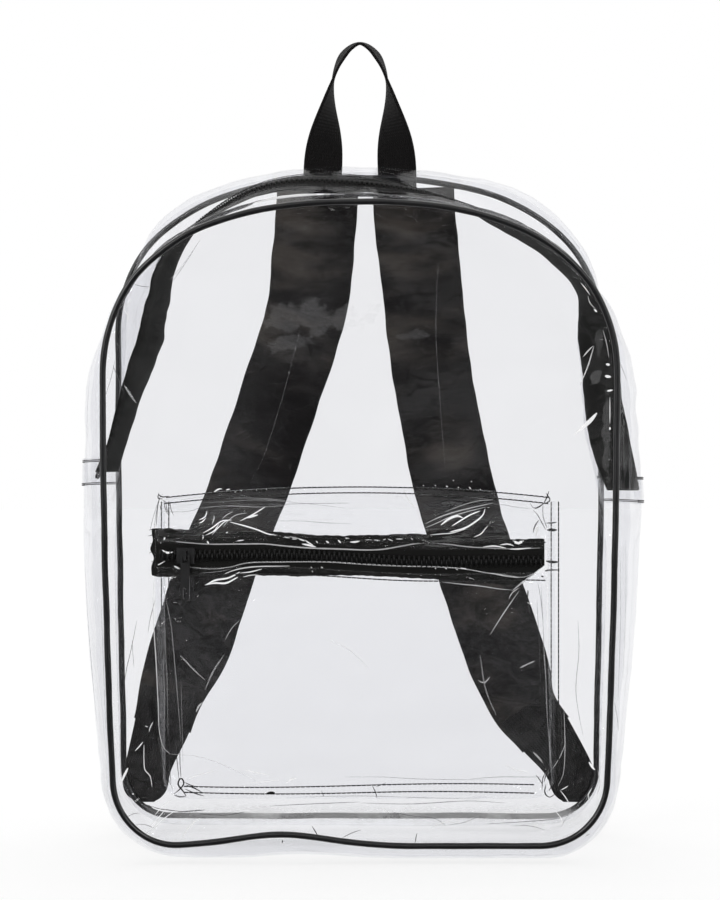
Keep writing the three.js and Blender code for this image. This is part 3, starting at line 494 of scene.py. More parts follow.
def withPaintedLight(finish, film, place, paintedLight):
    # painted light: pale diffuse patches mixed into the film as painted sheen and reflection; rows of x, z, width
    # and height in metres, how thick, and 1 for a ragged edge
    blur = finish.noise(place, 75, 3, 0.6)
    cloud = 0.0
    for x, z, wide, high, thick, ragged in paintedLight:
        away = finish.vector("MULTIPLY", finish.vector("SUBTRACT", place, (x, 0, z)), (1 / wide, 0, 1 / high))
        away = finish.vector("LENGTH", away, output=1) + (blur - 0.5) * (0.8 + 2.4 * ragged)
        cloud = finish.smooth(away, 1.0, 0.2 + 0.5 * ragged, 0.0, thick) + cloud
    base = finish.colours(blur, (0.72, 0.72, 0.73, 1), (0.86, 0.86, 0.87, 1))
    return finish.mixed(cloud, film, principled(finish, base=base, rough=0.5))


def innerVinyl():
    finish = Finish("inner_vinyl")
    facing = finish.add("ShaderNodeLayerWeight", {}, {"Blend": 0.5}, 1)
    through = finish.clear(0.969, 0.970, 0.976)
    return finish.out(finish.mixed(0.12 * facing ** 5, through, finish.gloss(0.12)))


def foldVinyl():
    # a standing fold of the film: "shade" mixes in a dark surface as painted shade and "glint" mixes in a white,
    # faintly glowing surface as a painted highlight
    finish = Finish("fold_vinyl")
    film = finish.mixed(0.1, finish.clear(0.8, 0.8, 0.81), finish.gloss(0.25))
    dark = principled(finish, base=(0.03, 0.03, 0.032, 1), rough=0.3)
    bright = principled(finish, base=(0.95, 0.95, 0.96, 1), rough=0.15, glow=(1, 1, 1, 1), glowing=0.12)
    film = finish.mixed(finish.attribute("shade"), film, dark)
    return finish.out(finish.mixed(finish.attribute("glint"), film, bright))


sockets = {
    "base": "Base Color", "rough": "Roughness", "normal": "Normal", "coat": "Coat Weight",
    "sheen": "Sheen Weight", "sheenRough": "Sheen Roughness", "specular": "Specular IOR Level",
    "glow": "Emission Color", "glowing": "Emission Strength",
}


def principled(finish, **values):
    values = {sockets[key]: value for key, value in values.items()}
    return finish.add("ShaderNodeBsdfPrincipled", {}, values)


def pipingBlack():
    finish = Finish("piping_black")
    worn = finish.noise(finish.place(), 60, 3)
    base = finish.colours(worn, (0.002, 0.002, 0.0025, 1), (0.008, 0.008, 0.009, 1))
    bump = finish.bump(worn, 0.0006, 0.5)
    shader = principled(finish, base=base, rough=0.26 + worn * 0.14, normal=bump, coat=0.25, specular=0.35)
    return finish.out(shader)


def woven(name, dark, light, pitchAlong, pitchAcross, depth, sheen, ribs=0.0):
    # threads follow the piece's own run, in metres
    finish = Finish(name)
    run, place = finish.run(), finish.place()
    waveAlong = (finish.split(run, 0) * (2 * math.pi / pitchAlong)).maths("SINE")
    waveAcross = (finish.split(run, 1) * (2 * math.pi / pitchAcross)).maths("SINE")
    threads = waveAlong * waveAcross * 0.5 + 0.5
    fuzz = finish.noise(place, 900)
    height = threads * (1 - ribs) + (waveAcross * 0.5 + 0.5) * ribs + fuzz * 0.3
    bump = finish.bump(height, depth)
    base = finish.colours(threads * 0.5 + finish.noise(place, 18, 3) * 0.5, (*dark, 1), (*light, 1))
    shader = principled(finish, base=base, rough=0.75 + fuzz * 0.1, normal=bump, sheen=sheen, sheenRough=0.4,
                        specular=0.1)
    return finish.out(shader)


# painted sheen: places where the straps' base colour is painted lighter, as light catching the cloth
strapPaintedSheen = [  # lighter places: x, z, width and height in metres, and how light
    (-0.040, 0.400, 0.055, 0.055, 0.13), (0.045, 0.405, 0.055, 0.050, 0.13), (0.062, 0.262, 0.025, 0.035, 0.14),
    (-0.085, 0.205, 0.03, 0.03, 0.06), (0.082, 0.15, 0.04, 0.035, 0.13), (-0.125, 0.09, 0.03, 0.03, 0.05),
]
strapTones = [
    (0.42, (0.0045, 0.0038, 0.004)), (0.49, (0.009, 0.0075, 0.0075)),
    (0.54, (0.02, 0.0175, 0.016)), (0.64, (0.05, 0.043, 0.037)),
]


def strapCloth():
    # brownish bands where the folded cloth bulges, their lighter base colour partly random tone and partly painted
    # sheen on the bulges, patches of painted sheen, a soft sheen, and a fine weave
    finish = Finish("strap_cloth")
    run, place = finish.run(), finish.place()
    weave = (finish.split(run, 0) * 5200).maths("SINE") * (finish.split(run, 1) * 5200).maths("SINE")
    bands = finish.noise(finish.vector("MULTIPLY", run, (15, 7, 1)), 1.0, 3, 0.55)
    cloud = finish.noise(finish.vector("MULTIPLY", run, (60, 22, 1)), 1.0, 4, 0.6)
    bump = finish.bump(weave * 0.015 + cloud * 1.2 + bands * 2.4, 0.003, 0.9)
    # painted sheen: the base colour is lifted at the listed lighter places
    glow = 0.0
    for x, z, wide, high, much in strapPaintedSheen:
        away = finish.vector("MULTIPLY", finish.vector("SUBTRACT", place, (x, 0, z)), (1 / wide, 0, 1 / high))
        glow = finish.smooth(finish.vector("LENGTH", away, output=1), 1.0, 0.2, 0.0, much) + glow
    tone = finish.ramp(bands * 0.65 + cloud * 0.35 + glow - 0.035, strapTones)
    shader = principled(finish, base=tone, rough=0.5 + cloud * 0.3, normal=bump, sheen=0.03, sheenRough=0.5,
                        specular=0.08)
    return finish.out(shader)


def blackEnamel():
    finish = Finish("black_enamel")
    worn = finish.noise(finish.place(), 400, 3)
    base = finish.colours(worn, (0.003, 0.003, 0.003, 1), (0.009, 0.009, 0.01, 1))
    bump = finish.bump(worn, 0.0002, 0.4)
    shader = principled(finish, base=base, rough=0.34 + worn * 0.2, normal=bump, coat=0.12, specular=0.3)
    return finish.out(shader)


def coilNylon():
    finish = Finish("coil_nylon")
    grain = finish.noise(finish.place(), 500)
    base = finish.colours(grain, (0.002, 0.002, 0.002, 1), (0.008, 0.008, 0.008, 1))
    return finish.out(principled(finish, base=base, rough=0.42 + grain * 0.15, specular=0.25))


# painted light on the film: the first three front rows are a painted sheen facet at the right shoulder, the other
# front rows a painted pale haze at the foot for the blurred view through the crumpled film, and the back rows
# painted sheen where the film lies on the straps; x, z, width and height in metres, how thick, and 1 for a ragged
# edge
frontPaintedLight = [
    (0.1515, 0.262, 0.003, 0.03, 0.07, 1), (0.144, 0.302, 0.004, 0.006, 0.08, 1),
    (0.1465, 0.322, 0.0025, 0.01, 0.05, 1), (-0.085, 0.030, 0.06, 0.008, 0.34, 0),
    (-0.02, 0.030, 0.07, 0.008, 0.30, 0), (0.05, 0.029, 0.06, 0.008, 0.34, 0),
    (0.11, 0.029, 0.045, 0.009, 0.36, 0),
]
backPaintedLight = [
    (-0.034, 0.345, 0.036, 0.011, 0.07, 1), (-0.052, 0.328, 0.018, 0.006, 0.06, 1),
    (0.035, 0.333, 0.012, 0.003, 0.05, 1),
]
frontVinyl = clearVinyl("front_vinyl", (26, 34), 0.8, frontPaintedLight)
backVinyl = clearVinyl("back_vinyl", (20, 26), 0.6, backPaintedLight)
gussetVinyl = clearVinyl("gusset_vinyl", (14, 85), 1.3, tint=0.966, slant=0.2)
pocketVinyl = clearVinyl("pocket_vinyl", (45, 40), 1.0, tint=0.992)
pocketTopVinyl = clearVinyl("pocket_top_vinyl", (150, 14), 1.2, tint=0.992, slant=0.3)
pocketSideVinyl = clearVinyl("pocket_side_vinyl", (12, 120), 1.3, tint=0.99, slant=0.3)
foldLook = foldVinyl()
innerLook = innerVinyl()
pipingLook = pipingBlack()
tapeLook = woven("zip_tape", (0.004, 0.004, 0.004), (0.014, 0.014, 0.013), 0.0009, 0.0011, 0.0002, 0.06)
webbingLook = woven("webbing", (0.003, 0.0028, 0.0028), (0.012, 0.011, 0.011), 0.0022, 0.0016, 0.0006, 0.05,
                    ribs=0.45)
threadLook = woven("thread", (0.004, 0.004, 0.004), (0.014, 0.014, 0.014), 0.0004, 0.0004, 0.0001, 0.3)
strapLook = strapCloth()
coilLook = coilNylon()
enamelLook = blackEnamel()
print("finishes made")

# Panels

panel = {
    "around": 420,
    "rings": [0, 0.004, 0.01, 0.018, 0.028, 0.04, 0.055, 0.075, 0.1, 0.13, 0.17, 0.22, 0.28, 0.35, 0.43, 0.52,
              0.62, 0.72, 0.83, 0.93],
}
frontMiddle = np.array([0, body["seamLift"] + body["frontHeight"] / 2])
backMiddle = np.array([0, body["seamLift"] + body["backHeight"] / 2])
crownShare = lambda share: np.sin(np.minimum(1, share) * math.pi / 2)


def addPanel(name, seam, middle, y, crown, ruffle):
    shares = np.arange(panel["around"]) / panel["around"]
    edge = seam.at(shares) - seam.outward(shares) * (body["piping"] / 2 + body["gap"])
    rings = np.array(panel["rings"])[:, None, None]
    flat = edge[None] * (1 - rings) + middle * rings
    y3 = y - crown * crownShare(np.array(panel["rings"]))[:, None] + 0 * flat[..., 0]
    grid = np.stack([flat[..., 0], y3, flat[..., 1]], -1)
    grid[..., 1] += ruffle(grid, rings[..., 0])
    low = smoothstep(62, 22, grid[..., 2])
    corners = low * smoothstep(80, 150, np.abs(grid[..., 0]))
    crumple = np.clip(0.1 + 0.5 * np.exp(-(rings[..., 0] / 0.05) ** 2) + 0.35 * low + 0.6 * corners, 0, 1)
    centre = np.array([middle[0], y - crown, middle[1]])
    count = panel["around"]
    ringCount = len(panel["rings"])
    half = body["sheet"] / 2
    points, values = [], []
    for side in (-half, half):
        points += [grid.reshape(-1, 3) + [0, side, 0], [centre + [0, side, 0]]]
        values += [crumple.ravel(), [0.15]]
    under = ringCount * count + 1
    front = gridFaces(ringCount, count, False, True)
    innermost = (ringCount - 1) * count
    fan = np.array([[innermost + i, innermost + (i + 1) % count, under - 1] for i in range(count)])
    rim = np.array([[i, (i + 1) % count, (i + 1) % count + under, i + under] for i in range(count)])
    faces = [list(f) for f in front] + [list(f) for f in fan]
    faces += [list(f[::-1] + under) for f in front] + [list(f[::-1] + under) for f in fan]
    faces += [list(f[::-1]) for f in rim]
    points = np.concatenate(points)
    piece = meshPiece(name, points, faces, points[:, [0, 2]], {"crumple": np.concatenate(values)})
    flipIfInside(piece)
    innerFaces[name] = (len(front) + len(fan), 2 * (len(front) + len(fan)))
    return piece


def flipIfInside(piece):
    mesh = piece.data
    mesh.calc_loop_triangles()
    spots = np.empty(len(mesh.vertices) * 3)
    mesh.vertices.foreach_get("co", spots)
    spots = spots.reshape(-1, 3)
    tris = np.empty(len(mesh.loop_triangles) * 3, int)
    mesh.loop_triangles.foreach_get("vertices", tris)
    a, b, c = (spots[tris.reshape(-1, 3)[:, i]] for i in range(3))
    if (np.einsum("ij,ij->i", a, np.cross(b, c))).sum() < 0:
        mesh.flip_normals()
        print("turned", piece.name)


def frontRuffle(grid, ring):
    nearFoot = smoothstep(110, 20, grid[..., 2])
    return (wander(grid, 60, 1) * 1.2 + wander(grid, 22, 2) * 0.9 * nearFoot) * smoothstep(0, 0.08, ring)


def backRuffle(grid, ring):
    return wander(grid, 55, 5) * 1.3 * smoothstep(0, 0.08, ring)


piece = addPanel("front_sheet", frontSeam, frontMiddle, frontY, body["frontCrown"], frontRuffle)
dress(piece, frontVinyl, "clear_vinyl", "front_panel")
piece = addPanel("back_sheet", backSeam, backMiddle, backY, body["backCrown"], backRuffle)
dress(piece, backVinyl, "clear_vinyl", "back_panel")

# Piping

piping = {"around": 520, "sides": 12}


def addPiping(name, seam, y, seed):
    shares = np.arange(piping["around"]) / piping["around"]
    flat = seam.at(shares)
    line = np.stack([flat[:, 0], np.full(len(flat), y), flat[:, 1]], -1)
    line += seam.outward(shares)[:, [0, 0, 1]] * [1, 0, 1] * wander(line, 34, seed)[:, None] * 0.5
    line[:, 1] += wander(line, 40, seed + 1) * 0.8
    radius = body["piping"] / 2 * (1 + wander(line, 9, seed + 2) * 0.06)
    piece = tubePiece(name, tubeSections(line, radius, piping["sides"], True), True)
    flipIfInside(piece)
    return piece


dress(addPiping("front_edge", frontSeam, frontY, 3), pipingLook, "piping", "front_piping")
dress(addPiping("back_edge", backSeam, backY, 6), pipingLook, "piping", "back_piping")

# Gusset and main zip

edgeDepth = (body["piping"] / 2 + body["gap"]) / body["depth"]
openHalf = mainZip["opening"] / 2 / body["depth"]
tapeHalf = mainZip["tape"] / 2 / body["depth"]
tabHalf = mainZip["tab"] / 2 / frontSeam.total
endGap = body["gap"] / frontSeam.total
gusset = {"step": 2.2}


def sharesBetween(low, high, step):
    return np.linspace(low, high, int(math.ceil((high - low) * frontSeam.total / step)) + 1)


def gussetUv(shares, depths):
    return np.stack(np.meshgrid(shares * frontSeam.total, depths * body["depth"], indexing="ij"), -1)


def gussetCrumple(shares, depths):
    # buckled at the shoulders, the foot's corners and along the seams
    share = np.mod(shares, 1)[:, None]
    shoulders = np.exp(-((share - 0.33) / 0.045) ** 2) + np.exp(-((share - 0.64) / 0.05) ** 2)
    corners = np.exp(-((share - 0.12) / 0.03) ** 2) + np.exp(-((share - 0.88) / 0.03) ** 2)
    top = 0.5 * np.exp(-((share - 0.49) / 0.12) ** 2)
    seams = np.exp(-(depths[None] / 0.08) ** 2) + np.exp(-((1 - depths[None]) / 0.08) ** 2)
    return np.clip(0.05 + shoulders + corners + top + 0.35 * seams, 0, 1)


def gussetPiece(name, low, high, front, back, thickness, lift, count, rough=1.0, step=None):
    shares = sharesBetween(low, high, step or gusset["step"])
    depths = np.linspace(front, back, count)
    grid = gussetGrid(shares, depths)
    crumple = gussetCrumple(shares, depths)
    u = (shares * frontSeam.total)[:, None] + 0 * depths[None]
    v = (depths * body["depth"])[None] + 0 * shares[:, None]
    flat = np.stack([u, v, 0 * u], -1)
    folds = wander(flat * [1, 0.35, 1], 17, 11) * 1.5 + wander(flat * [1, 0.6, 1], 8, 12) * 0.5
    hold = smoothstep(0, 0.1, depths)[None] * smoothstep(1, 0.9, depths)[None]
    rest = smoothstep(3, 14, grid[..., 2])
    grid = pushed(grid, folds * hold * rest * (0.12 + crumple) * rough)
    grid[..., 2] = np.maximum(grid[..., 2], 0.5)
    return sheetPiece(name, grid, thickness, lift, uv=gussetUv(shares, depths), values={"crumple": crumple})


lowerLow, lowerHigh = mainZip["leftEnd"], 1 + mainZip["rightEnd"]
zipLow, zipHigh = mainZip["rightEnd"] + endGap, mainZip["leftEnd"] - endGap
filmThick, backEdge = body["sheet"], 1 - edgeDepth
piece = gussetPiece("lower_gusset_sheet", lowerLow, lowerHigh, edgeDepth, backEdge, filmThick, 0, 50)
dress(piece, gussetVinyl, "clear_vinyl", "lower_gusset")
piece = gussetPiece("front_zip_sheet", zipLow, zipHigh, edgeDepth, mainZip["depth"] - openHalf, filmThick, 0, 22)
dress(piece, gussetVinyl, "clear_vinyl", "front_zip_strip")
piece = gussetPiece("back_zip_sheet", zipLow, zipHigh, mainZip["depth"] + openHalf, backEdge, filmThick, 0, 26)
dress(piece, gussetVinyl, "clear_vinyl", "back_zip_strip")
tape = gussetPiece("zip_tape_cloth", zipLow, zipHigh, mainZip["depth"] - tapeHalf, mainZip["depth"] + tapeHalf,
                   mainZip["tapeThick"], tapeLift, 20)
dress(tape, tapeLook, "zip_tape", "main_zip_tape")
for side, at in (("right", mainZip["rightEnd"]), ("left", mainZip["leftEnd"])):
    tab = gussetPiece(side + "_end_tab", at - tabHalf, at + tabHalf, edgeDepth + 0.064, backEdge - 0.064,
                      filmThick, 1.1, 40)
    dress(tab, gussetVinyl, "clear_vinyl", side + "_zip_end_tab")
print("body sewn")


def coilPiece(name, centres, along, across, out, width, height, pitch):
    # bent bars from both sides, turn about
    bars, sides = [], 6
    turn = np.arange(sides) / sides * 2 * math.pi
    profile = [(-0.5, -0.5), (-0.47, 0.25), (-0.2, 0.5), (0.12, 0.42), (0.16, -0.3)]
    for i in range(len(centres)):
        flip = 1 if i % 2 else -1
        spine = np.array([centres[i] + across[i] * x * width * flip + out[i] * y * height for x, y in profile])
        ahead = np.gradient(spine, axis=0)
        ahead /= np.linalg.norm(ahead, axis=-1, keepdims=True)
        side = along[i] + 0 * ahead
        up = np.cross(side, ahead)
        ring = rounds(spine, pitch * 0.4, side, up, turn)
        bars.append(ring)
    rows = len(profile)
    points = np.concatenate([bar.reshape(-1, 3) for bar in bars])
    faces = []
    for k in range(len(bars)):
        start = k * rows * sides
        faces += [list(face) for face in gridFaces(rows, sides, False, True, start)]
        faces.append(list(range(start, start + sides))[::-1])
        faces.append(list(range(start + (rows - 1) * sides, start + rows * sides)))
    piece = meshPiece(name, points, faces)
    flipIfInside(piece)
    return piece


def framesOf(grid):
    # middle points, and the ways along, across and out, of a three-column grid
    normals = normalsOf(grid)[:, 1]
    along = np.gradient(grid[:, 1], axis=0)
    along /= np.linalg.norm(along, axis=-1, keepdims=True)
    return grid[:, 1], along, np.cross(normals, along), normals


coil = {"pitch": 1.5, "seat": 0.42}
coilEnds = mainZip["rightEnd"] + tabHalf + endGap, mainZip["leftEnd"] - tabHalf - endGap
coilShares = sharesBetween(*coilEnds, coil["pitch"])
coilDepths = mainZip["depth"] + np.array([-0.02, 0, 0.02])
points, along, across, out = framesOf(gussetGrid(coilShares, coilDepths))
lift = tapeLift + mainZip["tapeThick"] / 2 + coil["seat"] + mainZip["coilThick"] / 2
teeth = coilPiece("zip_coil_teeth", points + out * lift, along, across, out, mainZip["coil"],
                  mainZip["coilThick"] * 0.7, coil["pitch"])
dress(teeth, coilLook, "zip_coil", "main_zip_coil")

# Pocket

pocket = {
    "width": 242, "height": 194, "foot": 40, "depth": 24, "corner": 14, "lean": -5, "arch": 7, "zipDrop": 44,
    "zipSag": 3, "tapeInset": 2.5,
}
pocketProfile = [(0, 0.3), (0.3, 0.72), (0.62, 1), (0.86, 0.98), (1, 0.08)]
pocketTop = pocket["foot"] + pocket["height"]
pocketHalf = pocket["width"] / 2
pocketZip = pocketTop - pocket["zipDrop"]
pocketGap = 1 + body["gap"] * 1.5
seamAngles = frontSeam.at(np.arange(2400) / 2400) - frontMiddle
seamTurn = np.unwrap(np.arctan2(seamAngles[:, 1], seamAngles[:, 0]))
seamReach = np.linalg.norm(seamAngles, axis=-1)


def frontPanelY(x, z):
    x, z = np.asarray(x, float), np.asarray(z, float)
    arm = np.stack([x - frontMiddle[0], z - frontMiddle[1]], -1)
    turn = np.arctan2(arm[..., 1], arm[..., 0])
    turn = seamTurn[0] + np.mod(turn - seamTurn[0], 2 * math.pi)
    reach = np.interp(turn, np.append(seamTurn, seamTurn[0] + 2 * math.pi), np.append(seamReach, seamReach[0]))
    return frontY - body["frontCrown"] * crownShare(np.maximum(0, 1 - np.linalg.norm(arm, axis=-1) / reach))


def pocketOff(z):
    up = (np.asarray(z, float) - pocket["foot"]) / pocket["height"]
    return pocket["depth"] * readRows([row[0] for row in pocketProfile], [row[1] for row in pocketProfile], up)


def pocketZipZ(x):
    share = np.asarray(x, float) / pocketHalf
    return pocketZip - pocket["zipSag"] * (share + 0.35 * np.sin(share * 5))


def pocketTopZ(x):
    return pocketTop - pocket["arch"] * (np.asarray(x, float) / pocketHalf) ** 2


def pocketPoints(x, z):
    off = pocketOff(z)
    leaning = x + pocket["lean"] * np.minimum(1, off / pocket["depth"])
    return np.stack([leaning, frontPanelY(x, z) - pocketGap - off, z + 0 * x], -1)


def pocketGrid(low, high, rows, half, columns=150, inset=lambda x: 0 * x):
    x = np.linspace(-half, half, columns)
    share = np.linspace(0, 1, rows)[:, None]
    z = (low(x) + inset(x))[None] * (1 - share) + high(x)[None] * share
    return pocketPoints(x[None] + 0 * z, z)


faceHalf = pocketHalf - 1.5 - body["gap"]
faceCorner = pocket["corner"] - 1.5 - body["gap"]


def footInset(x):
    cornerOut = np.maximum(0, np.abs(x) - (faceHalf - faceCorner))
    return faceCorner - np.sqrt(np.maximum(0, faceCorner ** 2 - cornerOut ** 2))


footLine = lambda x: pocket["foot"] + 1.5 + body["gap"] + 0 * x
lip = mainZip["opening"] / 2


frontGrid = pocketGrid(footLine, lambda x: pocketZipZ(x) - lip, 110, faceHalf, 190, footInset)
near = smoothstep(60, 8, pocketZipZ(frontGrid[..., 0]) - frontGrid[..., 2])
edge = smoothstep(30, 4, faceHalf - np.abs(frontGrid[..., 0]))
foot = smoothstep(28, 4, frontGrid[..., 2] - pocket["foot"])
crumple = np.clip(0.12 + 0.5 * near + 0.5 * edge + 0.6 * foot, 0, 1)
hold = smoothstep(0, 5, frontGrid[..., 2] - pocket["foot"] - 2)
hold = hold * smoothstep(-5, 6, pocketZipZ(frontGrid[..., 0]) - frontGrid[..., 2])
push = (wander(frontGrid, (30, 30, 22), 21) * 2.2 + wander(frontGrid, 11, 22) * 1.0 * crumple) * hold
piece = sheetPiece("pocket_front_sheet", pushed(frontGrid, push), filmThick, values={"crumple": crumple})
dress(piece, pocketVinyl, "clear_vinyl", "pocket_front")

topGrid = pocketGrid(lambda x: pocketZipZ(x) + lip, lambda x: pocketTopZ(x) - body["gap"], 44, faceHalf, 220)
crumple = np.clip(0.45 + 0.55 * smoothstep(60, 10, faceHalf - np.abs(topGrid[..., 0])), 0, 1)
share = np.linspace(0, 1, 44)[:, None]
hold = np.sin(share * math.pi) ** 0.6
push = (wander(topGrid, (46, 30, 9), 31) * 2.6 + wander(topGrid, (14, 9, 5), 32) * 1.0) * hold
piece = sheetPiece("pocket_top_sheet", pushed(topGrid, push), filmThick, values={"crumple": crumple})
dress(piece, pocketTopVinyl, "clear_vinyl", "pocket_top")


def pocketEdge(half, foot, corner):
    sideTop = pocketTop - pocket["arch"] - corner * 0.2
    line = [(-half, z) for z in np.linspace(sideTop, foot + corner, 70)]
    for turn in np.linspace(math.pi, 1.5 * math.pi, 16)[1:]:
        line.append((-half + corner + math.cos(turn) * corner, foot + corner + math.sin(turn) * corner))
    line += [(x, foot) for x in np.linspace(-half + corner, 0, 50)[1:]]
    return np.array(line + [(-x, z) for x, z in line[:-1][::-1]])


base = pocketEdge(pocketHalf, pocket["foot"], pocket["corner"])
face = pocketEdge(pocketHalf - 1, pocket["foot"] + 1, pocket["corner"] - 1)
shares = np.linspace(0, 1, 16)[None, :, None]
flat = base[:, None] * (1 - shares) + face[:, None] * shares
off = pocketOff(flat[..., 1])
sideGrid = np.stack([flat[..., 0] + pocket["lean"] * np.minimum(1, off / pocket["depth"]) * shares[..., 0],
                     frontPanelY(flat[..., 0], flat[..., 1]) - pocketGap - off * shares[..., 0], flat[..., 1]], -1)
normals = normalsOf(sideGrid)
fold = np.sin(shares[..., 0] * math.pi)
push = (wander(sideGrid, (14, 14, 40), 41) * 1.4 + 0.06 * off) * fold
sideGrid = sideGrid + normals * push[..., None]
side = sheetPiece("pocket_side_sheet", sideGrid, body["sheet"], values={"crumple": 0.6 + 0 * push})
flipIfInside(side)
dress(side, pocketSideVinyl, "clear_vinyl", "pocket_gusset")

zipHalf = faceHalf - pocket["tapeInset"]
behind = tapeLift - body["gap"]
tapeTop = [
    (147, 528), (162, 527), (200, 530), (280, 531), (310, 534), (340, 535), (380, 534), (420, 533),
    (445, 535), (465, 538), (500, 539), (547, 538),
]
tapeFoot = [
    (147, 574), (155, 577), (180, 576), (280, 575), (300, 576), (322, 575), (360, 575), (400, 577),
    (440, 579), (480, 582), (505, 585), (518, 584), (530, 576), (547, 563),
]


def edgeLine(spots, seed):
    k = 0.6118
    xs = [(px - view["middleX"]) * k - pocket["lean"] for px, py in spots]
    zs = [view["height"] + (view["middleY"] - py) * k for px, py in spots]
    return lambda x: np.interp(x, xs, zs) + 0.5 * wander(np.stack([x, 0 * x, 0 * x], -1), 3.3, seed)


tapeX = np.linspace(-zipHalf - 5.5, zipHalf + 1, 220)
tapeShare = np.linspace(0, 1, 24)[:, None]
tapeZ = edgeLine(tapeFoot, 91)(tapeX)[None] * (1 - tapeShare) + edgeLine(tapeTop, 92)(tapeX)[None] * tapeShare
tapeGrid = pocketPoints(tapeX[None] + 0 * tapeZ, tapeZ)
tapeGrid[..., 0] += smoothstep(-zipHalf + 3, -zipHalf - 5.5, tapeX)[None] * wander(tapeGrid, 7, 93) * 2.6
tapeGrid[..., 1] += 0.9 * smoothstep(-zipHalf + 2, -zipHalf - 5, tapeX)[None]
pocketTape = sheetPiece("pocket_tape_cloth", tapeGrid, mainZip["tapeThick"], behind)
dress(pocketTape, tapeLook, "zip_tape", "pocket_zip_tape")
x = np.linspace(-zipHalf, zipHalf, int(2 * zipHalf / coil["pitch"]))
z = pocketZipZ(x)
coilGrid = np.stack([pocketPoints(x, z - 1), pocketPoints(x, z), pocketPoints(x, z + 1)], 1)
points = coilGrid[:, 1]
along = np.gradient(points, axis=0)
along /= np.linalg.norm(along, axis=-1, keepdims=True)
across = coilGrid[:, 2] - coilGrid[:, 0]
across /= np.linalg.norm(across, axis=-1, keepdims=True)
out = np.cross(along, across)
lift = behind + mainZip["tapeThick"] / 2 + coil["seat"] + mainZip["coilThick"] / 2
teeth = coilPiece("pocket_coil_teeth", points + out * lift, along, across, out, mainZip["coil"],
                  mainZip["coilThick"] * 0.7, coil["pitch"])
dress(teeth, coilLook, "zip_coil", "pocket_zip_coil")
print("pocket sewn")

# Stitches and seam allowances

stitch = {"pitch": 3.1, "length": 3.0, "radius": 0.42, "sides": 5}


def stitchPiece(name, rows, radius=None):
    # each row is a line of points and the way off the sheet at each point
    radius = radius or stitch["radius"]
    points, faces, sides = [], [], stitch["sides"]
    turn = np.arange(sides) / sides * 2 * math.pi
    profile = [(-0.5, -0.25, 0.5), (-0.38, 0.75, 1), (0, 1, 1), (0.38, 0.75, 1), (0.5, -0.25, 0.5)]
    start = 0
    for line, out in rows:
        line, out = np.asarray(line, float), np.asarray(out, float)
        lengths = np.concatenate([[0], np.cumsum(np.linalg.norm(np.diff(line, axis=0), axis=1))])
        take = lambda values, where: np.stack([np.interp(where, lengths, values[:, i]) for i in range(3)], -1)
        count = max(1, int(lengths[-1] / stitch["pitch"]))
        pitch = lengths[-1] / count
        for k in range(count):
            middle = (k + 0.5) * pitch
            spots = middle + np.array([row[0] for row in profile]) * stitch["length"]
            lifts = np.array([row[1] for row in profile])[:, None]
            spine = take(line, spots) + take(out, spots) * lifts * radius
            ahead = np.gradient(spine, axis=0)
            ahead /= np.maximum(np.linalg.norm(ahead, axis=-1, keepdims=True), 1e-6)
            off = take(out, spots)
            side = np.cross(ahead, off)
            side /= np.maximum(np.linalg.norm(side, axis=-1, keepdims=True), 1e-6)
            off = np.cross(side, ahead)
            thick = radius * np.array([row[2] for row in profile])[:, None, None]
            ring = rounds(spine, thick, side, off, turn)
            points.append(ring.reshape(-1, 3))
            faces += [list(face) for face in gridFaces(len(profile), sides, False, True, start)]
            faces.append(list(range(start, start + sides))[::-1])
            faces.append(list(range(start + (len(profile) - 1) * sides, start + len(profile) * sides)))
            start += len(profile) * sides
    points = np.concatenate(points)
    piece = meshPiece(name, points, faces, points[:, [0, 2]])
    flipIfInside(piece)
    return dress(piece, threadLook, "webbing")


def gussetRow(low, high, depth, lift):
    shares = sharesBetween(low, high, 2.5)
    grid = gussetGrid(shares, depth + np.array([-0.01, 0, 0.01]))
    normals = normalsOf(grid)[:, 1]
    return grid[:, 1] + normals * lift, normals


def pocketRow(x, z, lift):
    here, right, up = pocketPoints(x, z), pocketPoints(x + 0.5, z), pocketPoints(x, z + 0.5)
    out = np.cross(right - here, up - here)
    out /= np.linalg.norm(out, axis=-1, keepdims=True)
    return here + out * lift, out


rows = []
for side in (-1, 1):
    for off in (1.6, 5.2):
        depth = mainZip["depth"] + side * (openHalf + off / body["depth"])
        rows.append(gussetRow(zipLow, zipHigh, depth, 0.4))
stitchPiece("zip_stitches", rows, 0.26)
rows = []
for tabAt in (mainZip["rightEnd"], mainZip["leftEnd"]):
    for share in (tabAt - tabHalf * 0.84, tabAt + tabHalf * 0.84):
        depths = np.linspace(0.12, 0.88, 50)
        grid = gussetGrid(share + np.array([-0.002, 0, 0.002]), depths)
        normals = normalsOf(grid)[1]
        for off in (0, 0.0007):
            rows.append((gussetGrid([share + off], depths)[0] + normals * 1.0, normals))
stitchPiece("end_tab_stitches", rows, 0.34)
xs = np.linspace(-faceHalf + 1, faceHalf - 1, 120)
rows = [pocketRow(xs, pocketTopZ(xs) - off, 0.5) for off in (1.2, 4.9)]
rows += [pocketRow(xs, pocketZipZ(xs) + off, 0.5) for off in (lip + 4.5, -lip - 4.5)]
xs = np.linspace(-faceHalf + 12, faceHalf - 10, 120)
rows.append(pocketRow(xs, pocket["foot"] + 4.6 + 0.8 * np.sin(xs / 31), 0.5))
rows.append(pocketRow(xs, pocket["foot"] + 9.2 + 1.2 * np.sin(xs / 40), 0.5))
stitchPiece("pocket_stitches", rows)
rows = []
for side in (-1, 1):
    for off in (2.2, -2.4):
        zs = np.linspace(pocket["foot"] + 14, pocketTop - pocket["arch"] - 3, 80)
        xs = side * (pocketHalf + off) + 0 * zs
        line = np.stack([xs, frontPanelY(xs, zs) - 1.2, zs], -1)
        rows.append((line, np.array([0, -1.0, 0]) + 0 * line))
stitchPiece("pocket_side_stitches", rows)


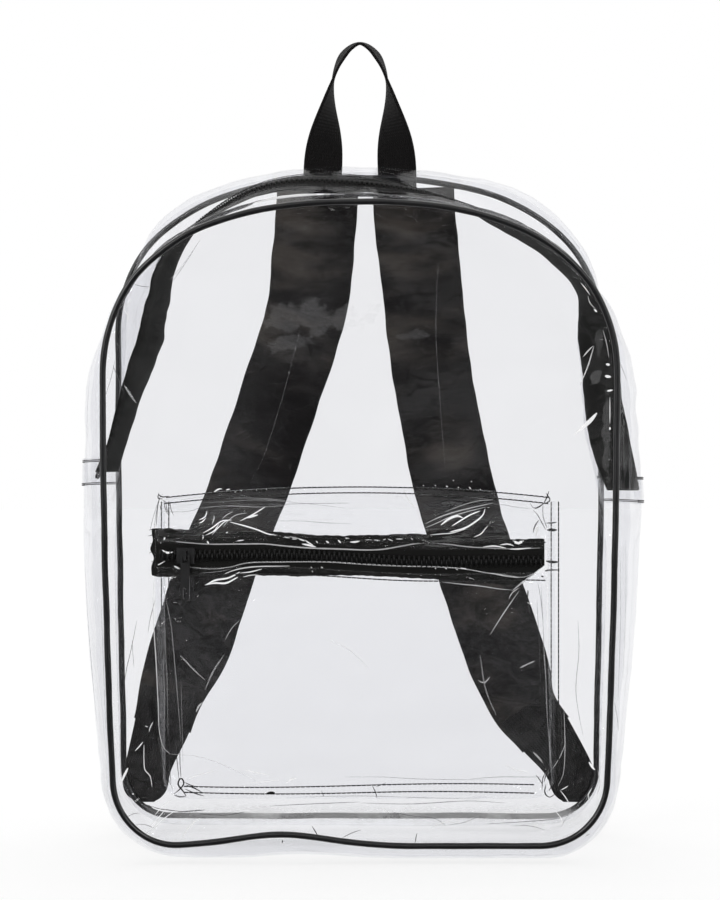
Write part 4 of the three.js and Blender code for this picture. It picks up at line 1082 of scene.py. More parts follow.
def allowance(name, front, back, lift, seed):
    # the turned-in edge of a piped seam, a strip of clear sheet inside the gusset
    shares = np.arange(600) / 600
    depths = np.linspace(front, back, 6)
    grid = gussetGrid(shares, depths)
    share = np.linspace(0, 1, 6)[None]
    push = lift * (0.3 + 0.7 * share) + wander(grid, (16, 16, 16), seed) * 1.2 * share
    normals = normalsOf(grid, True)
    grid = grid + normals * push[..., None]
    piece = sheetPiece(name, grid, body["sheet"], 0, True, values={"crumple": 0.7 + 0 * push})
    flipIfInside(piece)
    return dress(piece, gussetVinyl, "clear_vinyl")


allowance("front_allowance", edgeDepth, edgeDepth + 8 / body["depth"], -1.6, 71)
allowance("back_allowance", 1 - edgeDepth - 8 / body["depth"], 1 - edgeDepth, -1.2, 72)
print("stitched")

# Standing folds of the film, traced as (picture x, picture y) along each one

foldMake = {"sides": 6, "step": 1.6}


def pictureScale(y):
    return view["scale"] * (view["distance"] + y - frontY) / view["distance"]


def ontoSheet(px, py, sheetY):
    y = frontY + 0 * px
    for _ in range(4):
        k = pictureScale(y)
        x, z = (px - view["middleX"]) * k, view["height"] + (view["middleY"] - py) * k
        y = sheetY(x, z)
    return np.stack([x, y, z], -1)


def pocketFaceY(x, z):
    inside = (np.abs(x - pocket["lean"]) < pocketHalf - 1) & (z > pocket["foot"] + 2) & (z < pocketTop - 2)
    return np.where(inside, pocketPoints(x - pocket["lean"], z)[..., 1] - 0.7, frontPanelY(x, z) - 0.7)


gussetShares, gussetDepths = np.linspace(0, 1, 1600, endpoint=False), np.linspace(0.03, 0.45, 44)
gussetSpots = gussetGrid(gussetShares, gussetDepths)
viewScale = pictureScale(gussetSpots[..., 1])
seenX = view["middleX"] + gussetSpots[..., 0] / viewScale
seenY = view["middleY"] - (gussetSpots[..., 2] - view["height"]) / viewScale
gussetSeen = np.stack([seenX, seenY], -1)


def ontoGusset(px, py):
    spots, depth = [], 0.2
    for x, y in zip(px, py):
        away = np.linalg.norm(gussetSeen - [x, y], axis=-1) + 70 * np.abs(gussetDepths - depth)[None]
        i, j = np.unravel_index(np.argmin(away), away.shape)
        spots.append(gussetSpots[i, j])
        depth = gussetDepths[j]
    return np.array(spots)


def foldPiece(name, rows, place):
    # each row: thickness in mm, how dark as painted shade, how white as a painted highlight, then its places in
    # the picture
    points, faces, shade, glint, start = [], [], [], [], 0
    sides = foldMake["sides"]
    for thick, dark, white, *spots in rows:
        spots = np.array(spots, float)
        line = place(spots[:, 0], spots[:, 1])
        if len(line) == 2:
            line = np.array([line[0], (line[0] + line[1]) / 2, line[1]])
        length = np.linalg.norm(np.diff(line, axis=0), axis=1).sum()
        line, length = smoothLine(line, max(5, int(length / foldMake["step"])))
        share = np.linspace(0, 1, len(line))
        taper = 0.25 + 0.75 * np.sin(share * math.pi) ** 0.6
        sections = tubeSections(line, thick / 2 * taper * (1 + 0.25 * wander(line, 5, 81)), sides)
        points.append(sections.reshape(-1, 3))
        faces += [list(face[::-1]) for face in gridFaces(len(line), sides, False, True, start)]
        faces.append(list(range(start, start + sides)))
        faces.append(list(range(start + (len(line) - 1) * sides, start + len(line) * sides))[::-1])
        shade += [dark] * (len(line) * sides)
        glint += [white] * (len(line) * sides)
        start += len(line) * sides
    piece = meshPiece(name, np.concatenate(points), faces, values={"shade": shade, "glint": glint})
    flipIfInside(piece)
    return dress(piece, foldLook, "clear_vinyl")


pocketTopFolds = [
    (0.5, 0.1, 0, (165, 512), (190, 511), (200, 508), (250, 505), (290, 504), (350, 503)),
    (0.4, 0, 0.1, (200, 503), (260, 500), (300, 503), (345, 508)),
    (0.4, 0, 0.2, (200, 508), (225, 506), (262, 507), (290, 505)),
    (0.4, 0, 0.1, (205, 499), (250, 498), (292, 501)),
    (0.3, 0.2, 0, (277, 521), (300, 521), (330, 523), (352, 524)),
    (0.8, 0, 0.8, (265, 507), (252, 515), (240, 521)), (1.3, 0, 1, (247, 518), (253, 516), (258, 515)),
    (0.8, 0, 1, (207, 511), (205, 517), (199, 520)), (0.7, 0, 1, (206, 518), (202, 522), (199, 523)),
    (0.8, 0, 0.9, (203, 533), (212, 528), (222, 521), (232, 520)),
    (0.5, 0, 0.7, (214, 515), (214, 519), (212, 524)),
    (0.6, 0, 0.8, (212, 535), (218, 528), (226, 521), (231, 520)),
    (0.4, 0, 0.5, (222, 519), (228, 514), (233, 512)),
    (0.5, 0, 0.4, (223, 527), (228, 521), (236, 515), (247, 513)),
    (0.7, 0, 0.9, (206, 535), (214, 531), (219, 524)),
    (1.0, 0, 0.9, (230, 522), (245, 526), (258, 530), (268, 534), (281, 536)),
    (0.5, 0, 0.6, (281, 536), (292, 537), (304, 540)),
    (0.7, 0, 0.3, (425, 524), (440, 517), (455, 512), (475, 507), (493, 503)),
    (0.5, 0, 0.4, (425, 528), (437, 523), (450, 517), (470, 511), (486, 507)),
    (1.4, 0, 1, (441, 525), (449, 519), (458, 516), (463, 518)),
    (1.0, 0, 1, (452, 526), (460, 521), (470, 515), (480, 511)),
    (1.1, 0, 0.9, (450, 532), (465, 528), (475, 522), (483, 515), (485, 509)),
    (0.6, 0, 0.7, (430, 535), (440, 534), (452, 533), (466, 529)),
    (0.7, 0, 0.8, (474, 537), (481, 534), (485, 529), (488, 526)),
    (0.4, 0, 0.3, (445, 512), (460, 506), (478, 501), (493, 500)),
    (0.4, 0, 0.2, (418, 495), (440, 495), (470, 497), (493, 500)),
    (0.5, 0, 0.1, (494, 504), (505, 505), (515, 507), (532, 509)),
    (0.8, 0, 0.6, (404, 490), (408, 499), (415, 508)), (0.5, 0.4, 0, (530, 503), (534, 508), (544, 504)),
    (0.6, 0.5, 0, (533, 510), (537, 514), (541, 521), (546, 530)),
    (0.6, 0.3, 0, (543, 505), (543, 515), (547, 528)), (1.4, 0.2, 0.6, (536, 536), (537, 530), (538, 526)),
    (0.9, 0.5, 0, (533, 533), (535, 526), (539, 520)),
    (0.6, 0.4, 0, (160, 497), (158, 505), (157, 515), (156, 527)),
    (0.5, 0.5, 0, (164, 500), (165, 508), (169, 516)), (0.5, 0.5, 0, (170, 501), (171, 509), (174, 516)),
    (0.5, 0.5, 0, (162, 500), (168, 503), (172, 502)), (0.5, 0.4, 0, (166, 502), (167, 510), (170, 514)),
    (0.8, 0.4, 0, (160, 505), (161, 509), (162, 513)),
    (0.4, 0.2, 0, (154, 530), (156, 515), (160, 497), (163, 494)),
    (0.4, 0.2, 0, (150, 531), (153, 518), (158, 502)),
]
lipFolds = [
    (0.9, 0, 0.25, (158, 540), (180, 542), (205, 544), (240, 544), (265, 544), (285, 546), (310, 548),
     (340, 549), (370, 550), (385, 549), (402, 546), (422, 543), (445, 544), (470, 547), (490, 548),
     (515, 549), (540, 548)),
    (0.9, 0, 0.2, (190, 567), (212, 569), (230, 567), (247, 563), (280, 562), (330, 562), (360, 564),
     (400, 566), (440, 567), (465, 569), (488, 573), (505, 575), (524, 577), (536, 572), (545, 565)),
    (0.7, 0, 0.5, (222, 575), (235, 570), (252, 567), (290, 566)),
    (0.5, 0, 0.1, (200, 573), (215, 572), (232, 569)), (0.8, 0, 0.9, (483, 547), (494, 546), (506, 548)),
    (0.8, 0, 0.9, (508, 549), (518, 549), (531, 548)), (1.8, 0, 1, (513, 541), (518, 543), (524, 541)),
    (0.9, 0, 0.9, (500, 545), (508, 544), (514, 546)),
    (1.2, 0, 1, (205, 585), (214, 583), (226, 583), (238, 577)),
    (1.2, 0, 1, (207, 584), (216, 580), (228, 578), (240, 572)),
    (0.7, 0, 0.9, (240, 573), (250, 572), (262, 569)), (0.6, 0, 0.8, (243, 577), (252, 575), (259, 575)),
    (1.3, 0, 1, (162, 550), (168, 553), (173, 552)), (1.1, 0, 1, (174, 566), (178, 568), (180, 569)),
    (0.9, 0, 0.9, (157, 541), (161, 543)), (0.9, 0, 0.9, (164, 540), (165, 537)),
    (1.0, 0, 0.8, (155, 564), (160, 564), (165, 561)), (0.8, 0, 0.9, (203, 535), (203, 539)),
    (0.9, 0, 1, (207, 541), (209, 544)), (0.7, 0, 0.9, (237, 541), (244, 540)),
    (0.7, 0, 0.9, (226, 533), (228, 532)), (0.6, 0, 0.8, (284, 537), (290, 538)),
    (0.6, 0, 0.8, (292, 539), (297, 539)), (0.8, 0, 0.9, (299, 539), (305, 541)),
    (0.8, 0, 0.9, (305, 540), (309, 543), (313, 545)), (1.2, 0, 0.9, (302, 544), (308, 545), (316, 547)),
    (0.8, 0, 0.9, (316, 541), (318, 543)), (0.9, 0, 0.9, (326, 541), (329, 543)),
    (1.0, 0, 0.9, (338, 540), (341, 543)), (0.8, 0, 0.9, (345, 538), (350, 539)),
    (1.1, 0, 0.9, (350, 542), (355, 542), (360, 541)), (0.6, 0, 0.8, (362, 540), (372, 540)),
    (0.7, 0, 0.9, (374, 540), (381, 541)), (0.5, 0, 0.8, (383, 540), (386, 539)),
    (0.6, 0, 0.8, (388, 539), (393, 541)), (0.5, 0, 0.8, (396, 539), (403, 539)),
    (0.5, 0, 0.6, (411, 538), (413, 540)), (0.6, 0, 0.8, (311, 567), (312, 568)),
    (0.6, 0, 0.8, (312, 571), (313, 572)), (0.6, 0, 0.7, (321, 567), (323, 568)),
    (0.6, 0, 0.6, (435, 568), (436, 569)), (0.6, 0, 0.7, (445, 568), (447, 569)),
    (0.5, 0, 0.6, (456, 569), (458, 570)), (0.6, 0, 0.7, (460, 568), (467, 569)),
    (0.5, 0, 0.4, (490, 573), (505, 576), (520, 578)), (0.6, 0, 0.8, (204, 491), (207, 488)),
    (1.1, 0, 1, (214, 492), (219, 489), (222, 489)), (0.7, 0, 0.9, (226, 490), (230, 489)),
    (0.7, 0, 0.9, (233, 491), (236, 492)), (0.6, 0, 0.9, (240, 490), (242, 491)),
    (0.6, 0, 0.8, (248, 490), (249, 491)), (0.5, 0, 0.8, (256, 490), (258, 490)),
    (0.5, 0, 0.8, (265, 489), (267, 490)), (0.6, 0, 0.8, (274, 488), (276, 489)),
    (0.6, 0, 0.8, (283, 488), (285, 488)), (0.5, 0, 0.8, (423, 485), (424, 486)),
    (0.5, 0, 0.8, (435, 485), (436, 486)), (0.6, 0, 0.9, (446, 486), (448, 487)),
    (0.6, 0, 0.7, (458, 487), (459, 488)), (0.6, 0, 0.9, (469, 487), (471, 489)),
    (0.5, 0, 0.6, (480, 489), (481, 490)), (0.5, 0, 0.6, (453, 480), (454, 481)),
    (0.5, 0, 0.6, (471, 481), (472, 482)), (0.5, 0, 0.6, (489, 491), (491, 492)),
]
pocketFaceFolds = [
    (0.5, 0, 0.4, (442, 582), (460, 584), (480, 586), (500, 589), (512, 590)),
    (0.9, 0, 0.3, (512, 591), (518, 586), (527, 579), (536, 573)),
    (0.6, 0, 0.4, (509, 599), (512, 593), (519, 588)),
    (0.6, 0, 0.3, (490, 635), (500, 619), (510, 604), (519, 591)), (0.8, 0.9, 0, (528, 590), (528, 597)),
    (0.6, 0.9, 0, (528, 604), (530, 613)), (0.5, 0.1, 0, (538, 583), (541, 600), (543, 622)),
    (0.7, 0, 0.35, (154, 580), (153, 600), (154, 630), (156, 660), (158, 700), (160, 735), (164, 748),
     (170, 754)),
    (0.5, 0, 0.1, (162, 581), (166, 600), (171, 625), (174, 655), (177, 690), (179, 715), (181, 742)),
    (0.4, 0, 0.1, (164, 600), (165, 640), (167, 680), (168, 735)),
    (0.4, 0, 0, (162, 590), (161, 640), (163, 700), (162, 735)),
    (0.3, 0, 0.1, (181, 680), (182, 720), (183, 762)), (0.4, 0.6, 0, (170, 757), (170, 770), (171, 784)),
    (0.5, 0.6, 0, (176, 744), (177, 760), (179, 779)), (0.5, 0.7, 0, (180, 744), (180, 762), (181, 778)),
    (0.4, 0.5, 0, (158, 738), (163, 762), (168, 778), (173, 790)),
    (0.4, 0.3, 0, (155, 600), (150, 620), (148, 633)),
    (0.7, 0, 0.1, (541, 585), (543, 620), (544, 650), (546, 680), (547, 710), (549, 740), (551, 766)),
    (0.5, 0.5, 0, (560, 705), (562, 730), (561, 752), (557, 766)),
    (0.6, 0, 0.2, (564, 708), (565, 750), (563, 775), (558, 786)),
    (0.4, 0.2, 0, (578, 620), (579, 650), (576, 690), (579, 715), (583, 735)),
    (0.4, 0.2, 0, (597, 630), (600, 660), (596, 690), (600, 705)),
    (0.5, 0.1, 0.3, (552, 770), (560, 757), (565, 745)), (0.4, 0.1, 0, (537, 600), (539, 640), (541, 690)),
    (0.5, 0, 0.5, (186, 780), (198, 775), (216, 771)),
    (0.4, 0, 0.3, (170, 754), (200, 757), (230, 768), (262, 784)),
    (0.7, 0, 0.9, (245, 770), (258, 773), (270, 775)), (0.6, 0, 0.8, (248, 783), (262, 782), (280, 780)),
    (0.9, 0, 0.8, (286, 783), (292, 779), (297, 778)), (0.6, 0, 0.6, (505, 765), (516, 770), (528, 772)),
    (0.3, 0.3, 0, (470, 779), (500, 777), (522, 777), (542, 777)),
    (0.3, 0.2, 0, (345, 777), (380, 777), (420, 779), (486, 780)),
    (0.3, 0.3, 0, (300, 797), (360, 796), (430, 798), (480, 799)),
    (0.4, 0, 0.4, (330, 640), (352, 652), (368, 668)), (0.4, 0, 0.3, (225, 640), (232, 628), (240, 620)),
    (0.8, 0, 0.15, (180, 655), (192, 668), (205, 680)), (0.9, 0, 0.12, (205, 690), (213, 672), (224, 655)),
    (0.8, 0, 0.1, (480, 655), (486, 690), (496, 715)), (1.0, 0, 0.2, (520, 668), (528, 664), (535, 661)),
    (0.9, 0, 0.2, (478, 680), (484, 683), (490, 677)), (1.2, 0, 0.2, (533, 752), (539, 758), (543, 763)),
    (1.1, 0, 0.25, (196, 712), (199, 706), (203, 702)),
]
panelFolds = [
    (0.25, 0, 0.03, (438, 262), (436, 330), (440, 400), (446, 478)),
    (0.25, 0, 0.02, (300, 330), (283, 395), (262, 460), (250, 482)),
    (0.5, 0, 0.8, (581, 283), (586, 289), (590, 295)), (1.2, 0, 1, (594, 309), (597, 312)),
    (0.4, 0, 0.5, (588, 296), (590, 303), (596, 309)), (1.0, 0, 0.3, (593, 346), (588, 351), (583, 357)),
    (0.8, 0, 0.3, (594, 346), (588, 366), (580, 385)), (1.6, 0, 1, (606, 364), (610, 365)),
    (1.8, 0, 1, (605, 376), (611, 377)), (1.1, 0, 1, (607, 391), (613, 390)),
    (0.6, 0, 0.5, (610, 397), (610, 412), (610, 424)), (1.0, 0, 1, (610, 427), (610, 430)),
    (0.5, 0, 0.3, (603, 330), (607, 345), (609, 358)),
    (2.4, 0, 0.9, (597, 413), (590, 421), (583, 427), (575, 434)),
    (0.4, 0, 0.2, (196, 246), (184, 263), (170, 280)), (0.4, 0.2, 0, (200, 240), (186, 262), (173, 281)),
    (1.6, 0, 0.1, (124, 385), (130, 394), (136, 403)),
    (0.5, 0, 0.7, (126, 304), (124, 310), (128, 315), (127, 321)),
    (0.4, 0, 0.5, (122, 312), (127, 306), (132, 299)),
    (0.5, 0.2, 0, (113, 365), (117, 376), (121, 385), (124, 396)),
    (0.3, 0.2, 0, (104, 400), (111, 378), (116, 356)), (0.4, 0.3, 0, (134, 284), (140, 286), (150, 287)),
    (0.3, 0.3, 0, (122, 620), (124, 650), (122, 668)),
    (0.4, 0.4, 0, (137, 620), (131, 650), (126, 672), (122, 705), (120, 730)),
    (0.3, 0.3, 0, (132, 640), (133, 655), (134, 668)), (1.0, 0, 1, (115, 730), (115, 740), (116, 746)),
    (1.5, 0, 0.9, (128, 768), (124, 776), (121, 783)), (0.7, 0, 0.7, (143, 742), (138, 748), (135, 751)),
    (0.6, 0, 0.6, (144, 745), (144, 760), (145, 770), (150, 776), (152, 787)),
    (0.6, 0, 0.5, (145, 726), (148, 727)), (0.6, 0, 0.5, (153, 722), (150, 728), (149, 732)),
    (0.6, 0, 1, (132, 794), (134, 794)), (1.1, 0.8, 0, (144, 805), (149, 806), (153, 809)),
    (0.6, 0.5, 0, (150, 806), (160, 809), (168, 810), (184, 812)),
    (0.8, 0.4, 0, (178, 812), (192, 811), (205, 810)), (0.6, 0.35, 0, (200, 814), (225, 815), (245, 812)),
    (0.5, 0.3, 0, (270, 806), (310, 804), (360, 802)),
    (0.5, 0.25, 0, (360, 803), (410, 804), (470, 801), (505, 803)),
    (0.7, 0, 0.6, (592, 788), (588, 796), (590, 802)), (1.4, 0, 1, (589, 762), (593, 768), (595, 770)),
    (0.6, 0, 0.6, (560, 790), (566, 798), (570, 805)), (0.6, 0, 0.4, (598, 770), (600, 785), (597, 795)),
    (0.7, 0, 0.8, (561, 790), (565, 788), (568, 786)), (0.5, 0.2, 0.2, (571, 812), (565, 820), (561, 827)),
    (0.7, 0, 0.6, (556, 812), (561, 818), (563, 826)), (0.4, 0.3, 0, (510, 826), (530, 826), (545, 830)),
    (0.4, 0.4, 0, (586, 836), (590, 834)), (0.5, 0.3, 0, (484, 824), (520, 822), (560, 818), (575, 812)),
    (0.6, 0, 0.7, (155, 815), (163, 806), (172, 800)), (0.6, 0, 0.7, (148, 836), (160, 822), (176, 810)),
    (0.8, 0, 0.7, (182, 838), (190, 826), (200, 818)), (0.6, 0, 0.6, (137, 842), (150, 830), (161, 818)),
    (0.5, 0, 0.7, (150, 826), (160, 816), (168, 806)), (0.5, 0.3, 0, (127, 817), (133, 814), (140, 813)),
    (0.4, 0.3, 0, (135, 824), (146, 825), (156, 829)), (0.5, 0, 0.6, (240, 806), (252, 808), (268, 806)),
    (0.5, 0, 0.6, (226, 812), (236, 810), (250, 811)), (0.6, 0, 0.5, (430, 828), (446, 822), (462, 824)),
    (0.5, 0.25, 0, (392, 812), (412, 816), (436, 819), (446, 826)),
    (0.4, 0.25, 0, (448, 825), (462, 823), (476, 818)),
]
hemThreads = [
    (0.6, 1, 0, (312, 826), (315, 831), (318, 836)), (0.4, 1, 0, (342, 838), (352, 833), (361, 830)),
    (0.7, 1, 0, (283, 840), (282, 843)), (0.5, 1, 0, (417, 833), (416, 838), (415, 843)),
    (0.6, 1, 0, (372, 785), (375, 791), (377, 798)), (0.4, 1, 0, (376, 787), (381, 785), (386, 783)),
    (0.4, 1, 0, (321, 790), (323, 794), (323, 797)), (2.0, 1, 0, (266, 794), (270, 793), (275, 793)),
    (1.0, 1, 0, (174, 794), (180, 789), (184, 783), (181, 778), (178, 784), (183, 791), (186, 796)),
    (0.8, 1, 0, (186, 796), (180, 797), (174, 795)), (0.8, 1, 0, (186, 785), (194, 788), (203, 793)),
    (0.7, 1, 0, (185, 789), (194, 793), (204, 796)), (0.6, 1, 0, (184, 782), (190, 785), (197, 787)),
    (0.9, 1, 0, (544, 782), (547, 774), (552, 769), (556, 775), (554, 785), (556, 792)),
    (0.8, 1, 0, (556, 793), (551, 797), (545, 793), (546, 784)),
    (0.8, 1, 0, (547, 778), (552, 784), (549, 791)), (0.6, 1, 0, (548, 771), (543, 778), (542, 790)),
    (0.5, 1, 0, (536, 775), (540, 780), (543, 786)), (0.8, 1, 0, (158, 494), (163, 497), (169, 496)),
    (0.7, 1, 0, (159, 493), (158, 498), (163, 499)), (0.8, 1, 0, (549, 491), (547, 497), (544, 503)),
    (0.8, 1, 0, (546, 493), (550, 499), (545, 504)), (0.7, 1, 0, (544, 503), (539, 507), (534, 509)),
    (0.9, 1, 0, (149, 530), (158, 529), (168, 531)), (0.8, 1, 0, (148, 536), (158, 534), (170, 535)),
    (0.8, 1, 0, (150, 544), (158, 542), (163, 545)), (0.8, 1, 0, (149, 553), (156, 551), (161, 553)),
    (0.8, 1, 0, (151, 562), (158, 560), (164, 562)), (0.9, 1, 0, (152, 571), (160, 569), (168, 571)),
    (0.9, 1, 0, (153, 575), (160, 575), (169, 574)), (0.9, 1, 0, (546, 523), (552, 523), (557, 522)),
    (2.0, 1, 0, (547, 530), (552, 530), (557, 530)), (1.8, 1, 0, (546, 561), (552, 562), (559, 562)),
    (1.2, 1, 0, (545, 571), (552, 570), (560, 570)), (1.0, 1, 0, (541, 576), (544, 577)),
]
# painted shade: the first twelve rows are broad dark bands over the top and shoulders of the gusset, where the
# film seen edge-on over the zip tape looks dark; the rest are creases, the dark ones painted shade and the white
# ones painted highlights
gussetCreasesAndShade = [
    (3.0, 0.6, 0, (163, 240), (185, 216), (218, 198), (248, 187)),
    (2.4, 0.5, 0, (150, 258), (163, 247), (200, 222), (230, 208)),
    (2.2, 0.7, 0, (146, 262), (158, 246), (176, 230), (200, 212)),
    (1.6, 0.75, 0, (182, 222), (196, 212), (212, 205), (230, 199)),
    (1.2, 0.1, 0, (290, 191), (310, 190), (340, 188), (380, 188), (420, 190), (450, 194)),
    (2.4, 0.22, 0, (322, 196), (330, 195), (352, 194), (384, 194), (420, 196), (458, 200)),
    (1.4, 0.3, 0, (322, 185), (345, 184), (372, 184), (400, 186)),
    (2.6, 0.4, 0, (330, 199), (352, 198), (372, 198), (395, 199)),
    (2.6, 0.5, 0, (452, 200), (480, 203), (505, 210), (526, 218), (548, 232)),
    (2.0, 0.55, 0, (470, 207), (500, 214), (524, 224), (545, 238), (560, 252)),
    (1.6, 0.6, 0, (540, 226), (556, 240), (570, 256), (582, 274)),
    (1.4, 0.6, 0, (124, 300), (132, 284), (141, 270), (150, 260)),
    (0.4, 0.15, 0, (612, 345), (618, 358), (627, 380)), (0.4, 0.1, 0, (621, 410), (625, 440), (631, 466)),
    (0.3, 0.1, 0, (612, 702), (617, 716), (622, 732)), (0.3, 0.02, 0, (98, 610), (99, 660), (101, 720)),
    (0.3, 0.04, 0, (104, 600), (104, 660), (105, 730)), (0.25, 0, 0, (94, 560), (95, 620), (97, 690)),
    (0.25, 0, 0, (90, 380), (88, 410), (87, 440)), (0.3, 0, 0, (618, 560), (620, 620), (618, 700)),
    (0.25, 0, 0, (626, 540), (627, 600), (624, 680)), (0.4, 0.3, 0, (578, 262), (585, 272), (591, 283)),
    (0.4, 0.3, 0, (585, 262), (589, 270)), (0.5, 0, 0.5, (566, 240), (578, 258), (590, 280)),
    (1.0, 0, 0.8, (280, 200), (300, 196), (318, 192), (334, 189), (345, 186)),
    (0.7, 0, 0.7, (250, 210), (266, 205), (284, 200)), (1.0, 0, 1, (338, 191), (344, 190)),
    (0.9, 0, 0.9, (354, 192), (357, 192)), (0.7, 0, 0.9, (401, 188), (402, 190)),
    (0.7, 0, 0.9, (405, 188), (406, 189)), (0.7, 0, 0.9, (400, 197), (402, 197)),
    (0.7, 0, 0.6, (344, 182), (360, 182), (378, 183)),
    (0.8, 0, 0.4, (410, 187), (430, 190), (452, 194), (474, 197)),
    (0.6, 0, 0.3, (380, 190), (405, 193), (440, 196), (470, 199)),
    (0.8, 0, 0.4, (480, 199), (505, 204), (525, 212), (545, 223)),
    (0.7, 0, 0.5, (535, 214), (550, 226), (562, 238), (574, 252)),
    (0.7, 0, 0.4, (283, 186), (310, 187), (345, 187)), (0.5, 0, 0.3, (285, 192), (320, 190), (345, 187)),
    (0.9, 0, 0.4, (165, 240), (185, 226), (205, 211), (212, 207)),
    (0.7, 0, 0.5, (206, 218), (209, 214), (212, 211)), (0.7, 0, 0.6, (200, 210), (206, 206), (208, 204)),
    (0.6, 0, 0.4, (166, 236), (170, 226), (173, 217)), (0.5, 0, 0.3, (161, 243), (165, 232), (171, 222)),
    (0.6, 0, 0.3, (214, 206), (228, 198), (240, 191)),
    (0.7, 0, 0.3, (175, 238), (195, 226), (215, 218), (235, 213)),
    (0.7, 0.1, 0.2, (246, 188), (262, 187), (275, 184)), (0.8, 0.7, 0, (240, 194), (256, 191), (272, 187)),
    (0.7, 0.6, 0, (205, 216), (220, 206), (238, 194)), (0.6, 0.7, 0, (270, 190), (273, 192), (275, 196)),
    (0.8, 0.5, 0, (240, 187), (255, 183)), (1.8, 0, 0.45, (256, 203), (276, 198), (300, 194), (322, 191)),
    (1.3, 0, 0.5, (262, 197), (280, 193), (304, 189)), (1.0, 0, 0.55, (284, 187), (300, 185), (318, 184)),
]
foldPiece("pocket_top_creases", pocketTopFolds, lambda px, py: ontoSheet(px, py, pocketFaceY))
foldPiece("pocket_lip_creases", lipFolds, lambda px, py: ontoSheet(px, py, pocketFaceY))
foldPiece("pocket_face_creases", pocketFaceFolds, lambda px, py: ontoSheet(px, py, pocketFaceY))
foldPiece("front_creases", panelFolds, lambda px, py: ontoSheet(px, py, lambda x, z: frontPanelY(x, z) - 0.5))
foldPiece("gusset_creases_and_shade", gussetCreasesAndShade, ontoGusset)
threads = foldPiece("thread_ends", hemThreads, lambda px, py: ontoSheet(px, py, pocketFaceY))
threads.data.materials[0] = threadLook
print("creases laid")

# Haul loop and straps

def strapGrid(line, facing, width, columns):
    ahead = np.gradient(line, axis=0)
    ahead /= np.linalg.norm(ahead, axis=-1, keepdims=True)
    across = np.cross(ahead, facing)
    across /= np.linalg.norm(across, axis=-1, keepdims=True)
    side = np.linspace(-0.5, 0.5, columns)[None, :, None]
    return line[:, None] + across[:, None] * side * np.asarray(width)[:, None, None]


loop = {"height": 91, "spacing": 50, "width": 26, "thick": 1.8, "tail": 18}
loopY = backY + body["piping"] / 2 + body["gap"] + loop["thick"] / 2
bodyTop = body["seamLift"] + body["backHeight"]
legRows = [
    (1, -loop["tail"] / loop["height"]), (1, 0.07), (0.91, 0.36), (0.77, 0.665), (0.59, 0.84),
    (0.34, 0.95),
]
rise = lambda row, sign: (sign * row[0] * loop["spacing"] / 2, loopY, bodyTop + row[1] * loop["height"])
loopPoints = [rise(row, -1) for row in legRows] + [(0, loopY, bodyTop + loop["height"])]
loopPoints += [rise(row, 1) for row in legRows][::-1]
line = smoothLine(loopPoints, 200)[0]
share = np.linspace(0, 1, 200)
fromSeam = np.minimum(share, 1 - share) * 2
turned = smoothstep(0.1, 0.76, fromSeam) * math.pi / 2
turnedX = np.where(share < 0.5, -np.sin(turned), np.sin(turned))
facing = np.stack([turnedX, np.cos(turned), np.sin(turned) * 0.02], -1)
facing /= np.linalg.norm(facing, axis=-1, keepdims=True)
over = smoothstep(0.6, 1, fromSeam)[:, None]
facing = facing * (1 - over) + np.array([0, -0.18, 1]) * over
facing /= np.linalg.norm(facing, axis=-1, keepdims=True)
grid = strapGrid(line, facing, np.full(200, loop["width"]), 14)
haul = sheetPiece("haul_loop_webbing", grid, loop["thick"])
dress(haul, webbingLook, "webbing", "haul_loop")

strap = {"width": 55, "thick": 3, "bow": 44, "neck": 40, "neckLength": 62, "rows": 220, "columns": 26}
strapRoutes = {
    "left": [(0.985, -0.174, 0), (0.94, -0.182, 0.06), (0.875, -0.199, 0.3), (0.804, -0.22, 0.58),
             (0.744, -0.267, 0.78), (0.67, -0.332, 0.92), (0.518, -0.469, 1), (0.363, -0.627, 0.96),
             (0.259, -0.719, 0.82), (0.188, -0.792, 0.64), (0.135, -0.83, 0.46)],
    "right": [(0.985, 0.222, 0), (0.94, 0.227, 0.06), (0.875, 0.248, 0.3), (0.816, 0.266, 0.54),
              (0.731, 0.293, 0.8), (0.663, 0.319, 0.92), (0.508, 0.405, 1), (0.355, 0.52, 0.96),
              (0.213, 0.645, 0.74), (0.164, 0.692, 0.6), (0.12, 0.78, 0.44)],
}
anchors = {"left": (0.03, -0.885), "right": (0.03, 0.875)}
lower = {"width": 31, "topWidth": 40, "thick": 1.6, "overlap": 24, "drop": 4, "round": 16}
strapSeatY = loopY + loop["thick"] / 2 + body["gap"] + strap["thick"] / 2


def strapPoint(row):
    x, z = row[1] * body["backWidth"] / 2, body["seamLift"] + row[0] * body["backHeight"]
    return (x, strapSeatY + row[2] * strap["bow"], z)


